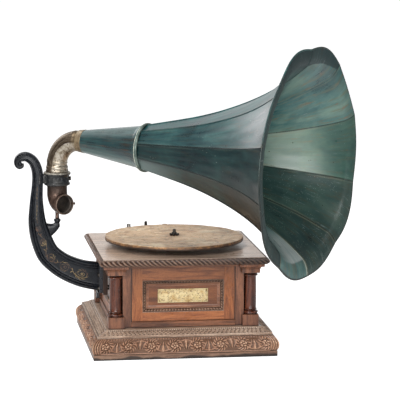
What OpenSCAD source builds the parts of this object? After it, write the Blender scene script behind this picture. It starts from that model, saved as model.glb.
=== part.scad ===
// Horn gramophone: a square carved oak case with a spring motor inside, a round
// turntable on its deck, a cast scroll bracket on its left side, and a ten-petal
// sheet-metal horn on a swivelling elbow.
// Origin: centre of the case's underside. +Z up, front panel faces -Y.

/* [Case] */
// Full width and depth of the moulded base at the floor
base_w = 396; // [380:2:420]
// Height of the deck's top above the floor
deck_z = 212; // [206:1:216]
// Full width and depth of the deck board inside the rope moulding
deck_w = 348; // [346:1:350]
// Thickness of the deck board
deck_t = 12; // [10:1:13]
// Diameter of the four corner columns
column_d = 26.4; // [22:0.2:26.6]
// Width of the plaque on the front panel
plaque_w = 109; // [60:1:140]
// Height of the plaque on the front panel
plaque_h = 30; // [16:1:40]

/* [Turntable] */
// Diameter of the turntable
table_d = 304.8; // [290:0.2:306]
// Height of the turntable's top above the deck
table_gap = 21; // [19:1:24]
// Diameter of the record pin
pin_d = 7.2; // [6.8:0.1:7.4]
// Number of points on the star nut
star_points = 7; // [5:1:9]

/* [Bracket] */
// Thickness of the cast bracket arm
arm_t = 26; // [22:1:30]
// Distance of the horn's swivel axis from the case's centre
swivel_x = 258; // [256:1:260]
// Outer diameter of the swivel elbow's tube
elbow_d = 44; // [42:0.5:44]

/* [Horn] */
// Angle of the horn in plan, towards the front
horn_turn = 36; // [0:1:60]
// Number of sheet petals in the horn
petals = 10; // [8:1:12]
// Length of the horn from the elbow to the mouth
horn_len = 545; // [520:5:560]
// Corner radius of the horn's mouth
mouth_r = 233; // [200:1:234]
// Thickness of the horn's sheet metal
sheet = 1; // [0.8:0.1:1.2]

/* [Winding] */
// Radius of the winding crank
crank_r = 100; // [80:1:104]

/* [Hidden] */
$fn = 64;

// heights of the case, from the floor
skirt_z = 12;            // top of the plain skirt
carve_z = 45;            // top of the carved moulding
cap_z = 60;              // top of the base's cap moulding
ped_z = 85;              // top of the column pedestals
shaft_z = 176;           // top of the columns' astragals
board_z = deck_z - deck_t;
face = 150;              // distance of the panel faces from the centre
col = 146.2;             // distance of the column axes from the centre
oak = "#8a4a26";
oak_dark = "#6e3420";
iron = "#1f2429";
steel = "#8d9093";
brass = "#b08d45";
green = "#3f6a68";

// motor layout, in plan
int_x = 15.05;  int_y = -26.07;       // intermediate arbor
bar_x = 66.85;  bar_y = -35.2 + 18.1; // barrel arbor
gov_y = 29.2;   gov_z = 130;          // governor shaft, along X
apex_z = 168;                         // crank shaft's height, where the bevels' axes meet
reg_x = -86;    reg_y = 132;          // speed regulator's stem
brk_x = -20;    brk_y = 164;          // brake lever's pivot
hub_z = deck_z + table_gap;           // top of the turntable
ax = -swivel_x;                       // the horn's swivel axis
er = elbow_d / 2;                     // the elbow's outer radius
horn_z = 450;                         // height of the horn's axis at the elbow
bend_r = 56;                          // bend radius of the horn's elbow
collar_z0 = 350;  collar_z1 = 378.6;  // the bracket's collar

// ---------- helpers ----------
module box(x0, x1, y0, y1, z0, z1) translate([x0, y0, z0]) cube([x1 - x0, y1 - y0, z1 - z0]);
module cyl(r, z0, z1, x = 0, y = 0) translate([x, y, z0]) cylinder(r = r, h = z1 - z0);
module cyl_y(r, y0, y1, x = 0, z = 0) translate([x, y0, z]) rotate([-90, 0, 0]) cylinder(r = r, h = y1 - y0);
module cyl_x(r, x0, x1, y = 0, z = 0) translate([x0, y, z]) rotate([0, 90, 0]) cylinder(r = r, h = x1 - x0);
module ring(ro, ri, z0, z1, x = 0, y = 0) difference() { cyl(ro, z0, z1, x, y); cyl(ri, z0 - 1, z1 + 1, x, y); }
module four() for (i = [0:3]) rotate([0, 0, 90 * i]) children();

// a profile (outward distance, height) run round the four sides with mitred corners
module mitred(p, reach) four() intersection() {
  rotate([90, 0, 0]) linear_extrude(height = 2 * reach, center = true) polygon(p);
  linear_extrude(height = 300) polygon([[0, 0], [reach, -reach], [reach, reach]]);
}

// smooth curve through hand-set points
function cr(a, b, c, d, t) = 0.5 * (2 * b + (c - a) * t + (2 * a - 5 * b + 4 * c - d) * t * t + (3 * b - a - 3 * c + d) * t * t * t);
function smooth(p, n) = concat([for (i = [0:len(p) - 2]) for (k = [0:n - 1])
  cr(p[max(i - 1, 0)], p[i], p[i + 1], p[min(i + 2, len(p) - 1)], k / n)], [p[len(p) - 1]]);
function dir(p, i) = let (a = p[max(i - 1, 0)], b = p[min(i + 1, len(p) - 1)], v = [b[0] - a[0], b[1] - a[1]]) v / norm(v);
// outline of a bar whose centre line and half width are given by points [x, y, half width]
function bar(p, inset = 0) = concat(
  [for (i = [0:len(p) - 1]) let (t = dir(p, i)) [p[i][0] - t[1] * (p[i][2] - inset), p[i][1] + t[0] * (p[i][2] - inset)]],
  [for (i = [len(p) - 1:-1:0]) let (t = dir(p, i)) [p[i][0] + t[1] * (p[i][2] - inset), p[i][1] - t[0] * (p[i][2] - inset)]]);

// outline of a straight-flanked gear with t teeth, pitch radius r and module m
module gear2d(t, r, m, phase = 0, add = 0.8, ded = 1.15, w = 0.36) polygon([for (i = [0:t - 1]) let (a = phase + 360 * i / t, s = 360 / t)
  for (q = [[r - ded * m, -w / 2 - 0.11], [r + add * m, 0.09 - w / 2], [r + add * m, w / 2 - 0.09], [r - ded * m, w / 2 + 0.11]])
    [q[0] * cos(a + s * q[1]), q[0] * sin(a + s * q[1])]]);

// ---------- case ----------
module base_skirt() color(oak_dark) difference() {
  box(-base_w / 2, base_w / 2, -base_w / 2, base_w / 2, 0, skirt_z);
  box(-165, 165, -165, 165, -1, skirt_z + 1);
}
module base_carved_moulding() color(oak_dark) mitred([[165, skirt_z], [base_w / 2 - 2, skirt_z], [base_w / 2 + 0.2, 16],
  [base_w / 2 + 1.3, 23], [base_w / 2 + 0.5, 30], [base_w / 2 - 3.5, 38], [188, carve_z], [165, carve_z]], 260);
module base_cap_moulding() color(oak) mitred([[132, carve_z], [188, carve_z], [188, 51], [184, 51.5], [181, 53], [174, 55.5],
  [168, 58.2], [166, cap_z], [132, cap_z]], 260);
module bottom_board() color(oak_dark) box(-165, 165, -165, 165, 0, 9);

module post_plan() polygon([[113, 113], [152, 113], [152, 131], [131, 131], [131, 152], [113, 152]]);
module corner_posts() color(oak) four() translate([0, 0, cap_z]) linear_extrude(height = board_z - cap_z) post_plan();
module column_pedestals() color(oak) four() difference() {
  box(127.6, 162.6, 127.6, 162.6, cap_z, ped_z);
  translate([0, 0, cap_z - 1]) linear_extrude(height = 60) post_plan();
}
module corner_columns() color(oak_dark) four() translate([col, col, 0]) rotate_extrude() polygon([[0, ped_z],
  [14.4, ped_z], [14.4, ped_z + 2], [14.9, ped_z + 3.2], [14.9, ped_z + 6.5], [14.1, ped_z + 8], [13.6, ped_z + 10.5],
  [column_d / 2, ped_z + 12], [column_d / 2 - 0.5, shaft_z - 8], [column_d / 2 - 0.5, shaft_z - 6],
  [14.3, shaft_z - 5], [14.3, shaft_z - 2], [13.2, shaft_z], [0, shaft_z]]);
module capital_step(o, i, z0, z1) box(i, o, i, o, z0, z1);
module column_capitals() color(oak) four() difference() {
  union() {
    capital_step(164, 125, shaft_z, shaft_z + 9);
    capital_step(166.5, 122.5, shaft_z + 9, shaft_z + 11);
    capital_step(169.5, 121, shaft_z + 11, shaft_z + 14);
    capital_step(173, 119.5, shaft_z + 14, board_z);
  }
  translate([0, 0, 100]) linear_extrude(height = 150) post_plan();
  box(100, 113.001, 100, 200, 100, 260);
  box(100, 200, 100, 113.001, 100, 260);
}

// one side's frame lies in the plane x = 150, then is turned round the case
module window() box(face - 20, face + 5, -88, 88, 92.5, 161.5);
module panel_frames() color(oak) {
  for (i = [0:3]) rotate([0, 0, 90 * i]) difference() {
    box(face - 12, face, -113, 113, 73, 189);
    window();
    if (i == 1) cyl_x(7, face - 20, face + 5, -bar_x, apex_z);
  }
}
module field_panels() color(oak) {
  for (i = [0:3]) rotate([0, 0, 90 * i]) difference() {
    box(face - 12, face - 7, -88, 88, 92.5, 161.5);
    if (i == 2) for (y = [-15, 15], z = [120, 150]) cyl_x(2.6, face - 20, face, y, z);
  }
}
module field_mouldings() color(oak_dark) {
  for (i = [0:3]) rotate([0, 0, 90 * i]) difference() {
    union() {
      difference() { box(face - 7, face - 3.5, -88, 88, 92.5, 161.5); box(face - 8, face, -80, 80, 100.5, 153.5); }
      difference() { box(face - 3.5, face, -88, 88, 92.5, 161.5); box(face - 4, face + 1, -84, 84, 96.5, 157.5); }
    }
    if (i == 1) cyl_x(7, face - 20, face + 5, -bar_x, apex_z);
  }
}
module name_plate() color("#c9b47c") difference() {
  box(-plaque_w / 2, plaque_w / 2, -face + 6, -face + 7, 126.6 - plaque_h / 2, 126.6 + plaque_h / 2);
  for (x = [-1, 1], z = [-1, 1]) cyl_y(1, -face, -face + 9, x * (plaque_w / 2 - 4), 126.6 + z * (plaque_h / 2 - 4));
}
module name_plate_pins() color(brass) for (x = [-1, 1], z = [-1, 1]) translate([x * (plaque_w / 2 - 4), -face + 6.98, 126.6 + z * (plaque_h / 2 - 4)])
  rotate([90, 0, 0]) rotate_extrude() polygon([[0, 0], [0.95, 0], [0.95, 1.1], [1.8, 1.1], [1.6, 1.6], [0.9, 2], [0, 2.1]]);
module frieze_rails() color(oak) four() box(face - 12, 152, -113, 113, 189, board_z);
module bottom_rails() color(oak) four() box(face - 12, 154, -113, 113, cap_z, 73);
module motor_board() color(oak) difference() {
  box(-deck_w / 2, deck_w / 2, -deck_w / 2, deck_w / 2, board_z, deck_z);
  cyl(8, board_z - 1, deck_z + 1);
  cyl(3.15, board_z - 1, deck_z + 1, reg_x, reg_y);
  for (p = hangers) cyl(2.6, board_z - 1, deck_z + 1, p[0], p[1]);
  cyl(2.55, deck_z - 8, deck_z + 1, brk_x, brk_y);
}
module rope_moulding() color(oak_dark) mitred([[deck_w / 2, 197], [deck_w / 2 + 3, 196.6], [deck_w / 2 + 6.6, 198.6], [deck_w / 2 + 8.4, 203.5],
  [deck_w / 2 + 7.4, 208.5], [deck_w / 2 + 3.5, 211.3], [deck_w / 2, deck_z - 0.4]], 260);

// ---------- bracket ----------
// centre line and half width of the cast arm, from the case up to the scroll
arm_pts = [[-166, 146.5, 31.6], [-177, 147.1, 31], [-204.5, 152.7, 29.7], [-234, 164.3, 28.1], [-257.2, 178.4, 26.6], [-278.6, 198.8, 25.2],
  [-291.6, 227.4, 23.4], [-298.3, 249.8, 21.4], [-302, 271, 19], [-303, 292, 16.6], [-302.9, 319, 13.8], [-301, 347, 12.1],
  [-300.2, 371, 12], [-303.4, 389.4, 11.7], [-311.4, 404.4, 11.2], [-323.4, 412.6, 10.6], [-334.6, 411.4, 9.8], [-342.4, 403.6, 8.6]];
spur_pts = [[-287, 238, 14], [-279, 243.6, 14], [-271.5, 249, 12.8], [-264.6, 254.6, 9.6], [-260, 259.4, 7.2], [-258, 264, 6.4]];
module bracket_pad() color(oak_dark) difference() {
  box(-160, -face - 0.01, -26, 26, 108, 180);
  for (y = [-15, 15], z = [120, 150]) cyl_x(2.6, -170, -140, y, z);
}
module bracket_flange() color(iron) difference() {
  union() {
    box(-168, -160, -24, 24, 112, 177);
    box(-172, -168, -24, 24, 112, 114.9);
    box(-173, -166, -5, 5, 97, 112);
  }
  for (y = [-15, 15], z = [120, 150]) cyl_x(2.6, -180, -140, y, z);
}
module bracket_bolts() color(steel) for (y = [-15, 15], z = [120, 150]) {
  cyl_x(2.5, -168, -132, y, z);
  translate([-168, y, z]) rotate([0, -90, 0]) rotate_extrude() polygon([[0, 0], [5.2, 0], [4.6, 2.2], [2.8, 3.4], [0, 3.7]]);
  cyl_x(4.8, -137.99, -134, y, z);
}
module arm_plate(p, t, inset = 0) rotate([90, 0, 0]) linear_extrude(height = t, center = true) polygon(bar(smooth(p, 4), inset));
module bracket_arm() color(iron) difference() {
  union() {
    arm_plate(arm_pts, arm_t);
    translate([-337.8, 0, 397.4]) rotate([90, 0, 0]) cylinder(r = 12.6, h = arm_t, center = true);
    arm_plate(spur_pts, 11);
    cyl(7.2, 257, 275, ax, 0);
    box(-292, ax - 18, -8, 8, 354, 374);
    translate([ax, 0, 0]) rotate_extrude() polygon([[15, collar_z0], [26.8, collar_z0], [28, 352], [28, 355], [26.2, 358],
      [26.2, 370], [28.6, 373.6], [29.3, 375], [29.3, collar_z1], [15, collar_z1]]);
  }
  // recessed panels on both cheeks; the bolt heads sit inside the foot
  for (s = [-1, 1]) translate([0, s * (arm_t / 2 + 2), 0]) arm_plate([for (i = [1:12]) arm_pts[i]], 10, 6.5);
  box(-168, -150, -40, 40, 80, 220);
  cyl(23.05, 300, 400, ax, 0);
  cyl(4.05, 263, 280, ax, 0);
  cyl_x(2.55, ax + 20, ax + 40, 0, 364);
  for (y = [-15, 15], z = [120, 150]) cyl_x(6, -172.6, -160, y, z);
}
module thumb_screw() color(steel) {
  cyl_x(2.5, ax + 23.5, ax + 28, 0, 364);
  cyl_x(4.4, ax + 26.45, ax + 30.2, 0, 364);
}

// ---------- motor ----------
pillars = [[-84, -64], [110, -66], [110, 44], [-84, 4]];
hangers = [[-54, -30], [100, 20], [20, -62], [20, 46]];
module plate_plan() difference() {
  translate([-92, -74]) square([210, 128]);
  for (p = pillars) translate(p) circle(r = 3.05);
}
module motor_top_plate() color(brass) difference() {
  union() {
    translate([0, 0, 184]) linear_extrude(height = 4) plate_plan();
    box(bar_x - 9, bar_x + 9, 32, 44, 158, 184);
    cyl(2, 175.5, 184, bar_x + 21, bar_y - 6);
  }
  cyl(4.05, 180, 190);
  cyl(4.05, 180, 190, int_x, int_y);
  cyl(5.05, 180, 190, bar_x, bar_y);
  cyl_y(5.05, 30, 50, bar_x, apex_z);
  for (p = hangers) cyl(2.55, 180, 190, p[0], p[1]);
}
module motor_bottom_plate() color(brass) difference() {
  translate([0, 0, 92]) linear_extrude(height = 4) plate_plan();
  cyl(4.05, 90, 100);
  cyl(4.05, 90, 100, int_x, int_y);
  cyl(5.05, 90, 100, bar_x, bar_y);
  for (x = [-79, 19]) cyl(1.55, 90, 100, x, gov_y);
}
module motor_pillars() color(steel) for (p = pillars) translate([p[0], p[1], 0]) {
  cyl(5, 96, 184);
  cyl(3, 89, 191);
  cyl(5.5, 88, 92);
  cyl(5.5, 188, 192);
}
module motor_hangers() color(steel) for (p = hangers) translate([p[0], p[1], 0]) {
  cyl(2.5, 180, deck_z + 1);
  cyl(5.5, 188, board_z);
  cyl(5, 180, 184);
  cyl(5, deck_z, deck_z + 2.6);
}
module governor_bearings() color(brass) for (x = [-79, 19]) difference() {
  union() { box(x - 3, x + 3, gov_y - 5, gov_y + 5, 96, gov_z + 6); cyl(1.5, 91, 97, x, gov_y); }
  cyl_x(2.05, x - 5, x + 5, gov_y, gov_z);
}
module ratchet2d() polygon([for (i = [0:15]) each [[14 * cos(i * 22.5), 14 * sin(i * 22.5)], [11.2 * cos(i * 22.5 + 3), 11.2 * sin(i * 22.5 + 3)]]]);
module barrel_arbor() color(steel) {
  cyl(5, 92.5, 187.5, bar_x, bar_y);
  translate([bar_x, bar_y, 176]) linear_extrude(height = 4) ratchet2d();
  cyl(7, 173, 176, bar_x, bar_y);
}
module click_pawl() color(steel) translate([bar_x + 21, bar_y - 6, 176.2]) difference() {
  linear_extrude(height = 3.5) polygon(concat([for (a = [135:15:375]) [4 * cos(a), 4 * sin(a)]], [[-5, 10.2], [-6.8, 8.4]]));
  cylinder(r = 2.05, h = 10, center = true);
}
module click_spring() color(steel) {
  box(bar_x + 25.6, bar_x + 26.2, bar_y - 6, bar_y + 12, 176.2, 179.7);
  box(bar_x + 24, bar_x + 28, bar_y + 12, bar_y + 17, 175, 184);
}
module spring_barrel() color(brass) difference() {
  union() {
    translate([bar_x, bar_y, 104]) linear_extrude(height = 5) gear2d(72, 45, 1.25, atan2(int_y - bar_y, int_x - bar_x));
    cyl(40, 108, 151, bar_x, bar_y);
  }
  cyl(37.5, 108, 160, bar_x, bar_y);
  cyl(5.05, 100, 160, bar_x, bar_y);
}
module barrel_cover() color(brass) ring(37.48, 5.05, 147.5, 150.5, bar_x, bar_y);
// the mainspring, a coiled strip that fills the barrel
turns = 7;
function spiral(t, w) = let (a = 360 * t, r = 9 + 26.5 * t / turns + w) [r * cos(a), r * sin(a)];
module mainspring() color("#5a6470") translate([bar_x, bar_y, 111]) linear_extrude(height = 34)
  polygon(concat([for (i = [0:turns * 18]) spiral(i / 18, 0)], [for (i = [turns * 18:-1:0]) spiral(i / 18, 1)]));

// bevel teeth: each gear shrinks towards the point where the two axes meet
face_s = 0.7;
module arbor_bevel() color(brass) difference() {
  translate([bar_x, bar_y, 0]) union() {
    translate([0, 0, 156]) linear_extrude(height = 12 * (1 - face_s), scale = face_s) gear2d(32, 24, 1.5, 90, 1.3, 1.9, 0.34);
    cyl(20.6, 152.4, 156.02);
  }
  cyl(5.02, 150, 165, bar_x, bar_y);
}
module winding_shaft() color(steel) {
  translate([bar_x, bar_y + 24, apex_z]) rotate([90, 0, 0])
    linear_extrude(height = 24 * (1 - face_s), scale = face_s) gear2d(16, 12, 1.5, 90 + 11.25, 0.75, 1.15, 0.34);
  cyl_y(10, bar_y + 23.98, bar_y + 29, bar_x, apex_z);
  cyl_y(5, bar_y + 29, 196, bar_x, apex_z);
}
module crank_escutcheon() color(brass) difference() {
  cyl_y(10.5, face + 0.01, face + 3, bar_x, apex_z);
  cyl_y(5.3, face - 2, face + 5, bar_x, apex_z);
}
module crank_arm() color(steel) difference() {
  union() {
    cyl_y(9, 187, 195, bar_x, apex_z);
    cyl_y(8, 187, 195, bar_x, apex_z - crank_r);
    box(bar_x - 6, bar_x + 6, 188, 194, apex_z - crank_r, apex_z);
    cyl_y(3.5, 190, 273, bar_x, apex_z - crank_r);
    cyl_y(5.5, 271.5, 274, bar_x, apex_z - crank_r);
  }
  cyl_y(5.02, 180, 200, bar_x, apex_z);
}
module crank_grip() color("#5d3a22") translate([bar_x, 196, apex_z - crank_r]) rotate([-90, 0, 0]) difference() {
  rotate_extrude() polygon([[3, 0], [8, 0], [9, 2], [8.4, 8], [10.4, 26], [11.4, 46], [10.6, 62], [8, 71], [5.6, 74], [3, 74]]);
  cylinder(r = 3.55, h = 200, center = true);
}
module intermediate_arbor() color(steel) {
  cyl(4, 92.5, 187.5, int_x, int_y);
  translate([int_x, int_y, 102]) linear_extrude(height = 9) gear2d(12, 7.5, 1.25, atan2(bar_y - int_y, bar_x - int_x) + 15);
}
module intermediate_wheel() color(brass) difference() {
  union() {
    translate([int_x, int_y, 155.5]) linear_extrude(height = 4) gear2d(48, 24, 1, atan2(-int_y, -int_x));
    cyl(8, 151, 163, int_x, int_y);
  }
  cyl(4.02, 150, 170, int_x, int_y);
  for (i = [0:4]) cyl(4.6, 154, 161, int_x + 15 * cos(72 * i), int_y + 15 * sin(72 * i));
}
module turntable_spindle() color(steel) {
  cyl(4, 92.5, hub_z + 7.6, 0, 0);
  translate([0, 0, 152.5]) linear_extrude(height = 10) gear2d(12, 6, 1, atan2(int_y, int_x) + 15);
  cyl(pin_d / 2, hub_z + 7.6, hub_z + 13);
  translate([0, 0, hub_z + 13]) cylinder(r1 = pin_d / 2, r2 = pin_d / 2 - 1.4, h = 1.6);
}
// a four-start worm on the governor's shaft turns with the 48-tooth wheel
worm_rate = 360 / (4 * PI);
module worm_wheel() color(brass) difference() {
  union() {
    translate([0, 0, gov_z - 3.5]) rotate([0, 0, -3.5 * 0.955])
      linear_extrude(height = 7, twist = -7 * 0.955, slices = 4) gear2d(48, 24, 1, 90, 0.75, 1.2, 0.3);
    cyl(9, gov_z - 9, gov_z + 9);
  }
  cyl(4.02, 110, 150);
}
module governor_shaft() color(steel) {
  cyl_x(2, -84, 24, gov_y, gov_z);
  translate([0, gov_y, gov_z]) rotate([0, 90, 0]) translate([0, 0, -9]) rotate([0, 0, -9 * worm_rate])
    linear_extrude(height = 18, twist = -18 * worm_rate, slices = 20) rotate([0, 0, 45 + worm_phase]) gear2d(4, 5, 1, 0, 0.75, 1.2, 0.3);
  cyl_x(5, -32, -28, gov_y, gov_z);
}
worm_phase = 90;
module governor_disc() color(brass) difference() {
  union() { cyl_x(16, -68, -65.5, gov_y, gov_z); cyl_x(5, -68, -58, gov_y, gov_z); }
  cyl_x(2.03, -70, -50, gov_y, gov_z);
}
module around_governor() for (i = [0:2]) translate([0, gov_y, gov_z]) rotate([120 * i + 90, 0, 0]) children();
// each governor spring is a thin strip bowed outwards, with a lead weight at its middle
bow = smooth([[-31, 5.4, 0.3], [-36, 7.2, 0.3], [-41, 9.4, 0.3], [-45, 10, 0.3], [-49, 9.4, 0.3], [-54, 7.2, 0.3], [-59, 5.4, 0.3]], 3);
module governor_springs() color(steel) around_governor() rotate([90, 0, 0]) linear_extrude(height = 5, center = true) polygon(bar(bow));
module governor_weights() color("#77797c") around_governor() translate([-45, 0, 10.35]) cylinder(r = 4.2, h = 6);
module brake_pivot() color(steel) {
  cyl(2.5, deck_z - 7, 226, brk_x, brk_y);
  cyl(5, deck_z, 221.8, brk_x, brk_y);
  cyl(4.4, 225.2, 227.4, brk_x, brk_y);
}
module brake_lever() color(iron) difference() {
  union() {
    translate([0, 0, 222]) linear_extrude(height = 3) polygon(bar(smooth([[-44, 158, 3], [-32, 161.5, 3.4], [-20, 164, 4.6], [-10, 164, 3.6], [0, 163.2, 3]], 3)));
    cyl(3.2, 222, 238, -44, 158);
    translate([-44, 158, 238]) cylinder(r1 = 3.2, r2 = 2, h = 2);
    box(-5, 5, 161.4, 163.4, 225, 232.4);
  }
  cyl(2.55, 220, 230, brk_x, brk_y);
}
module brake_pad() color("#6b5a48") box(-5, 5, 154.2, 161.39, 225.4, 232);
module regulator_lever() color(steel) {
  cyl(3, 126, 236, reg_x, reg_y);
  cyl(4.2, deck_z + 1, 238.5, reg_x, reg_y);
  translate([0, 0, 127]) linear_extrude(height = 6) polygon(bar(smooth([[-86, 132, 2.5], [-83, 100, 2], [-79.5, 70, 1.8], [-77, 47, 1.8], [-76.6, 38, 1.8]], 3)));
  box(-75.2, -69.4, 38.2, 44, 126.5, 133.5);
}

// ---------- turntable ----------
module turntable_platter() color("#4b4238") difference() {
  union() { cyl(table_d / 2, hub_z - 8, hub_z - 1); cyl(16, deck_z + 2.5, hub_z - 7); }
  ring(table_d / 2 - 3, 16, hub_z - 9, hub_z - 4);
  cyl(4.02, deck_z - 5, hub_z + 5);
}
module turntable_cover() color("#b98d55") ring(table_d / 2 - 0.3, 4.4, hub_z - 1, hub_z);
module star_nut() color(iron) difference() {
  union() {
    translate([0, 0, hub_z + 0.02]) linear_extrude(height = 5) polygon([for (i = [0:2 * star_points - 1]) let (r = i % 2 == 0 ? 11.2 : 6.4) [r * cos(180 * i / star_points), r * sin(180 * i / star_points)]]);
    cyl(5.6, hub_z + 4, hub_z + 7.5);
  }
  cyl(4.02, hub_z - 2, hub_z + 10);
}

// ---------- horn ----------
module on_horn() translate([ax, 0, horn_z]) rotate([0, 0, -horn_turn]) translate([58.9, 0, 0]) rotate([0, 91.4, 0]) children();
module tube_profile(ro, ri) difference() { circle(r = ro); circle(r = ri); }
module bend(r, ro, ri) rotate([90, 0, 0]) rotate([0, 0, 90]) rotate_extrude(angle = 90) translate([r, 0]) tube_profile(ro, ri);
module horn_elbow() color("#b9a98c") translate([ax, 0, 0]) rotate([0, 0, -horn_turn]) {
  rotate_extrude() polygon([[20.6, 353], [23, 353], [23, collar_z1 + 0.1], [24.4, collar_z1 + 0.1], [24.4, 385], [23.8, 386],
    [er, 386], [er, 394], [20.6, 394]]);
  translate([bend_r, 0, 394]) bend(bend_r, er, 20.6);
  translate([bend_r, 0, horn_z]) rotate([0, 90, 0]) linear_extrude(height = 15) tube_profile(er, 20.6);
}
neck_r = 46.5;   // radius of the horn where the cone meets the petals
neck_s = 157;    // distance of that joint from the elbow
module horn_cone() color(green) on_horn() rotate_extrude() polygon([[er + 0.1, 0], [er + 1.1, 0], [neck_r, neck_s], [neck_r - sheet, neck_s]]);
module horn_ring() color(green) on_horn() rotate_extrude() polygon([[neck_r + 0.02, 149.5], [48.4, 149.5], [50.8, 152], [52.2, 155.5], [52.2, 160], [50.9, 163],
  [50, 163.5], [49.9, 157.05], [neck_r + 0.02, 157.05]]);

// outside of the horn from the joint to the mouth: distance from the elbow, corner radius. The lip turns almost square.
flare_pts = [[157.1, 46.9], [245, 66.3], [290, 77.2], [330, 89], [365, 101.4], [395, 113.4], [422, 125.6], [448, 139], [472, 153.4],
  [494, 168.6], [514, 184], [528, 195.8], [536.5, 204.2], [541, 213], [543.6, 222.5], [545, 233]];
// how far each petal's lip stands out past a straight edge, from the lowest one round the far side
petal_bow = [12.8, 26, 11.7, 3, 17.6, 21, 10, 11.4, 20, 15.6];
steps = len(flare_pts) - 1;
function at_s(k) = neck_s + 0.1 + (horn_len - neck_s - 0.1) * (flare_pts[k][0] - 157.1) / 387.9;
function at_r(k) = neck_r + 0.4 + (mouth_r - neck_r - 0.4) * (flare_pts[k][1] - 46.9) / 186.1;
function run(k) = k == 0 ? 0 : run(k - 1) + norm(flare_pts[k] - flare_pts[k - 1]);
function lean(k) = k == 0 ? 0 : let (j = min(k + 1, steps)) atan2(at_r(j) - at_r(k - 1), at_s(j) - at_s(k - 1));
seg = 5;                              // facets across one petal
half = 180 / petals;
// radius across a petal: flat near the joint, bowed out past the corners at the mouth
function across(r, u, w) = r * cos(half) / cos(u) + w * cos(90 * u / half);
function swell(k, bow) = bow * pow(run(k) / run(steps), 3.5);
function gap(r) = 0.15 / r * 57.3;
// a point of the sheet, d outwards from its outer face
function on_sheet(k, u, bow, d) = let (q = across(at_r(k), u, swell(k, bow)) + d * cos(lean(k)), z = at_s(k) - d * sin(lean(k))) [q * cos(u), q * sin(u), z];
// cross-section of one petal with its folded seam along one edge
function petal_ring(k, bow) = let (g = gap(at_r(k)), f = 2.2 / at_r(k) * 57.3)
  concat(
    [on_sheet(k, -half + g, bow, 1.3), on_sheet(k, -half + g + f, bow, 1.3)],
    [for (i = [0:seg]) on_sheet(k, -half + g + f + (2 * half - 2 * g - f) * i / seg, bow, 0)],
    [for (i = [seg:-1:0]) on_sheet(k, -half + g + (2 * half - 2 * g) * i / seg, bow, -sheet)]);
ring_n = 2 + 2 * (seg + 1);
// the end of the sheet as narrow triangles, because at the turned lip it isn't flat
end_strip = concat([[0, 1, 2], [0, 2, ring_n - 1]], [for (i = [0:seg - 1]) each [[2 + i, 3 + i, ring_n - 2 - i], [2 + i, ring_n - 2 - i, ring_n - 1 - i]]]);
module petal(bow) polyhedron(
  points = [for (k = [0:steps]) each petal_ring(k, bow)],
  faces = concat(
    end_strip,
    [for (t = end_strip) [for (i = [2:-1:0]) steps * ring_n + t[i]]],
    [for (k = [0:steps - 1]) for (i = [0:ring_n - 1]) let (j = (i + 1) % ring_n, a = k * ring_n, b = a + ring_n) each [[a + i, b + i, b + j], [a + i, b + j, a + j]]]),
  convexity = 6);
module horn_petals() color(green) on_horn() for (i = [0:petals - 1]) rotate([0, 0, 2 + half + 360 / petals * i]) petal(petal_bow[i % 10]);
// the wired edge follows the lobed mouth
rim_n = 5;
function rim_pt(i, d) = let (p = floor(i / rim_n), u = -half + 2 * half * (i % rim_n) / rim_n, q = across(mouth_r, u, petal_bow[p % 10]) + d, a = 2 + half + p * 2 * half + u) [q * cos(a), q * sin(a)];
module horn_rim_wire() color(green) on_horn() translate([0, 0, horn_len - 2.2]) linear_extrude(height = 3.6) difference() {
  polygon([for (i = [0:petals * rim_n - 1]) rim_pt(i, 3.2)]);
  polygon([for (i = [0:petals * rim_n - 1]) rim_pt(i, 0.4)]);
}

// ---------- tone arm elbow, open at its outlet ----------
out_turn = 64;
module tonearm_elbow() color("#8a5f4c") translate([ax, 0, 0]) rotate([0, 0, -out_turn]) {
  rotate_extrude() polygon([[18.6, 333.5], [22, 333.5], [22, 349.7], [20.5, 349.7], [20.5, 371], [18.6, 371]]);
  translate([23, 0, 333.5]) mirror([0, 0, 1]) bend(23, 22, 18.6);
  translate([23, 0, 310.5]) rotate([0, 90, 0]) rotate_extrude() polygon([[18.6, 0], [22, 0], [22, 10.2], [20, 10.2], [20, 1.2], [18.6, 1.2]]);
  // set-screw lug beside the outlet, and the pivot pin under the bend
  translate([29, 20.8, 310.5]) rotate([-90, 0, 0]) cylinder(r = 2.2, h = 6.5);
  difference() {
    cyl(4, 264.5, 300);
    translate([23, 0, 333.5]) rotate([90, 0, 0]) rotate_extrude() translate([23, 0]) circle(r = 20);
  }
}

base_skirt();
base_carved_moulding();
base_cap_moulding();
bottom_board();
corner_posts();
column_pedestals();
corner_columns();
column_capitals();
panel_frames();
field_panels();
field_mouldings();
name_plate();
name_plate_pins();
frieze_rails();
bottom_rails();
motor_board();
rope_moulding();
bracket_pad();
bracket_flange();
bracket_bolts();
bracket_arm();
thumb_screw();
crank_escutcheon();
motor_top_plate();
motor_bottom_plate();
motor_pillars();
motor_hangers();
governor_bearings();
click_spring();
click_pawl();
barrel_arbor();
arbor_bevel();
spring_barrel();
barrel_cover();
mainspring();
winding_shaft();
crank_arm();
crank_grip();
intermediate_arbor();
intermediate_wheel();
turntable_spindle();
worm_wheel();
turntable_platter();
turntable_cover();
star_nut();
governor_shaft();
governor_weights();
governor_springs();
governor_disc();
brake_lever();
brake_pad();
brake_pivot();
regulator_lever();
horn_elbow();
horn_cone();
horn_ring();
horn_petals();
horn_rim_wire();
tonearm_elbow();
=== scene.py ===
import math

import bpy
import bmesh
import numpy as np
from mathutils import Matrix, Vector


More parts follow.
